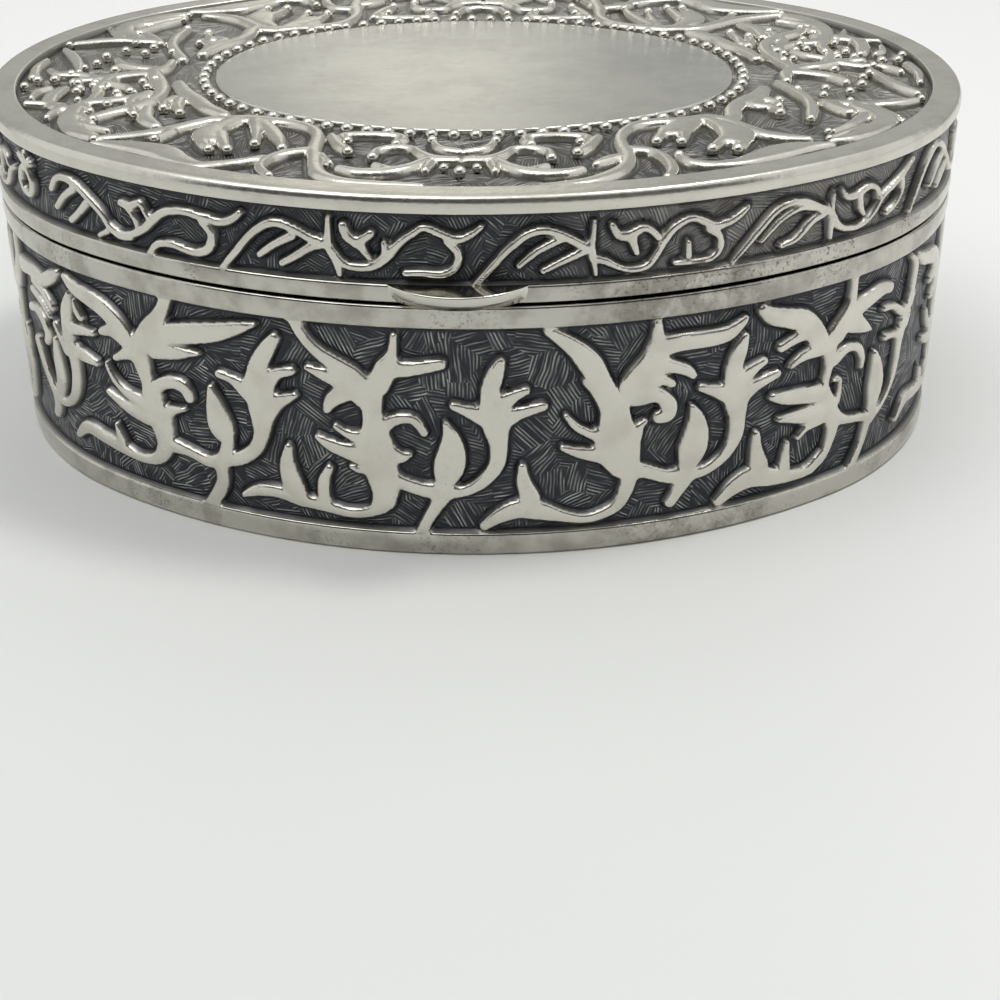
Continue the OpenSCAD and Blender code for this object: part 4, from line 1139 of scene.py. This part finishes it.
def velvet():
    """Dark red pile with brushed patches."""
    n = new_material("velvet")
    place = n.millimetres()
    brushed = n.step(n.noise(place, 0.07), 0.35, 0.7)
    colour = n.mix(brushed, (0.075, 0.006, 0.014, 1), (0.125, 0.012, 0.024, 1))
    shader = n.surface(colour, 0.95, n.times(n.noise(place, 6.0, 4.0, 0.7), 0.12), metallic=0.0)
    shader.inputs["Sheen Weight"].default_value = 0.5
    shader.inputs["Sheen Roughness"].default_value = 0.4
    shader.inputs["Sheen Tint"].default_value = (0.6, 0.2, 0.25, 1)
    return n.finish(shader)


def dress(obj, material):
    obj.data.materials.clear()
    obj.data.materials.append(material)


# ---------------------------------------------------------------- object

side_metal = cast_silver("silver_side", 3.6, 0.42, SIDE_TONES, -0.12, 0.12, 0.55,
                         (FOOT_RIM, BASE_H - MOUTH_RIM))
skirt_metal = cast_silver("silver_skirt", 2.8, 0.38, SKIRT_TONES, -0.12, 0.12, 0.9,
                          (LID_Z + LID_RIM, BAND_Z), right_lighten=0.28)
panel_metal = cast_silver("silver_panel", 3.0, 0.34, PANEL_TONES, -0.1, 0.15, 0.2,
                          (-99, 99), oxide_and_shade_dark=0.45, back_lighten=0.35)
polished = plain_silver("silver_polished", (0.64, 0.62, 0.56, 1), 0.2)
satin = plain_silver("silver_satin", (0.66, 0.65, 0.60, 1), 0.2, brush=0.02)
pile = velvet()

dress(base_casting(), side_metal)
dress(lid_side(), skirt_metal)
dress(lid_casting(), panel_metal)
dress(plaque(), satin)
dress(beads(), polished)
dress(thumb_lift(), polished)
for lining in velvet_pieces():
    dress(lining, pile)
dress(frame["nodes"]["base_floor"], plain_silver("silver_dull", (0.40, 0.39, 0.36, 1), 0.45))
dress(frame["nodes"]["hinge_base"], polished)
dress(frame["nodes"]["hinge_lid"], polished)
dress(frame["nodes"]["hinge_pin"], steel())

# ---------------------------------------------------------------- camera, floor and light

CAMERA_AT = (9.285, -217.242, 105.56)
CAMERA_PITCH = 0.5265
CAMERA_ROLL = -0.0052
CAMERA_YAW = -0.0287
LENS = 61.96
SHIFT_Y = 0.005
BOARD_HALF = 3000
WORLD_LIGHT = 0.68
WORLD_SHOWN = 0.9
LAMP_AIM = Vector((0, 0, 0.02))


def turn(axis, angle):
    return Matrix.Rotation(angle, 3, axis)


def camera():
    data = bpy.data.cameras.new("camera")
    data.lens = LENS
    data.sensor_width = 36
    data.shift_y = SHIFT_Y
    data.clip_start = 0.01
    obj = bpy.data.objects.new("camera", data)
    ahead = Matrix(((1, 0, 0), (0, 0, -1), (0, 1, 0)))
    right, down, forward = turn("Z", CAMERA_ROLL) @ turn("X", CAMERA_PITCH) @ ahead @ turn("Z", CAMERA_YAW)
    pose = Matrix((right, -down, -forward)).transposed().to_4x4()
    pose.translation = [v * MM for v in CAMERA_AT]
    obj.matrix_world = pose
    bpy.context.scene.collection.objects.link(obj)
    bpy.context.scene.camera = obj


def stage_sheet(name, corners, material):
    mesh = bpy.data.meshes.new(name)
    mesh.from_pydata([[c * MM for c in corner] for corner in corners], [], [(0, 1, 2, 3)])
    obj = bpy.data.objects.new(name, mesh)
    obj.data.materials.append(material)
    bpy.context.scene.collection.objects.link(obj)


def floor():
    """White board under the box, with painted light: a little brighter to the right and behind, where the
    light falls from.
    """
    n = new_material("white_board")
    place = n.millimetres()
    x, y, _ = n.axes(place)
    cloud = n.step(n.noise(place, 0.006), 0.3, 0.7)
    colour = n.mix(cloud, (0.79, 0.80, 0.78, 1), (0.82, 0.83, 0.805, 1))
    # Painted light: brighter behind and to the right.
    colour = n.mix(n.step(y, 20.0, 160.0), colour, (0.95, 0.95, 0.94, 1))
    colour = n.mix(n.step(x, 20.0, 110.0), colour, (0.93, 0.93, 0.915, 1))
    far = BOARD_HALF
    corners = [(-far, -far, 0), (far, -far, 0), (far, far, 0), (-far, far, 0)]
    shader = n.node("BsdfPrincipled", {"Base Color": colour, "Roughness": 0.6})
    stage_sheet("board", corners, n.finish(shader))


def card(name, y, low, high, dark, bright, middle, near, far, shade_low, shade_high, half=1300):
    """An upright card for the metal to mirror. The camera sees it as plain and pale as the surroundings.

    It is bright about its middle, in a band that rises to the higher shade level, and dark elsewhere.
    """
    n = new_material(name)
    x, _, z = n.axes(n.millimetres())
    side = n.step(n.away(x, middle), near, far)
    up = n.step(z, shade_low, shade_high)
    down = n.step(z, shade_high + 10, shade_high + 45)
    lit = n.times(n.math("SUBTRACT", 1.0, side), n.line(up, 0.75, 0.25))
    lit = n.times(n.math("MAXIMUM", lit, n.times(up, 0.2)), n.line(down, -0.6, 1.0))
    seen = n.node("LightPath").outputs["Is Camera Ray"]
    colour = n.mix(seen, n.mix(lit, dark, bright), (0.88, 0.89, 0.9, 1))
    corners = [(-half, y, low), (half, y, low), (half, y, high), (-half, y, high)]
    stage_sheet(name, corners, n.finish(n.node("Emission", {"Color": colour, "Strength": 1.0})))


def lamp(name, place, size, power, colour):
    data = bpy.data.lights.new(name, "AREA")
    data.shape = "DISK"
    data.size = size
    data.energy = power
    data.color = colour
    obj = bpy.data.objects.new(name, data)
    bpy.context.scene.collection.objects.link(obj)
    obj.location = place
    obj.rotation_euler = (LAMP_AIM - Vector(place)).to_track_quat("-Z", "Y").to_euler()


def world():
    """Pale surroundings for the camera and for reflections, and a soft light on everything."""
    n = Nodes(bpy.data.worlds.new("surroundings"), "OutputWorld")
    bpy.context.scene.world = n.owner
    rays = n.node("LightPath").outputs
    shown = n.math("MAXIMUM", rays["Is Camera Ray"], rays["Is Glossy Ray"])
    shown = n.math("MAXIMUM", shown, rays["Is Transmission Ray"])
    strength = n.mix_value(shown, WORLD_LIGHT, WORLD_SHOWN)
    n.finish(n.node("Background", {"Color": (0.98, 0.99, 1.0, 1), "Strength": strength}))


camera()
floor()
world()
card("back_card", 620, 0, 620, (0.40, 0.41, 0.41, 1), (1.25, 1.22, 1.12, 1), -60, 30, 150, 110, 255)
card("room_card", -800, 140, 1200, (0.06, 0.06, 0.06, 1), (0.22, 0.22, 0.21, 1), 500, 100, 700, 0, 1)
lamp("window", (0.3, 0.05, 0.85), 0.18, 2.1, (1.0, 0.99, 0.97))
lamp("room", (-0.3, -0.25, 0.95), 0.8, 2.9, (1.0, 1.0, 1.0))
bpy.context.scene.view_settings.view_transform = "Standard"
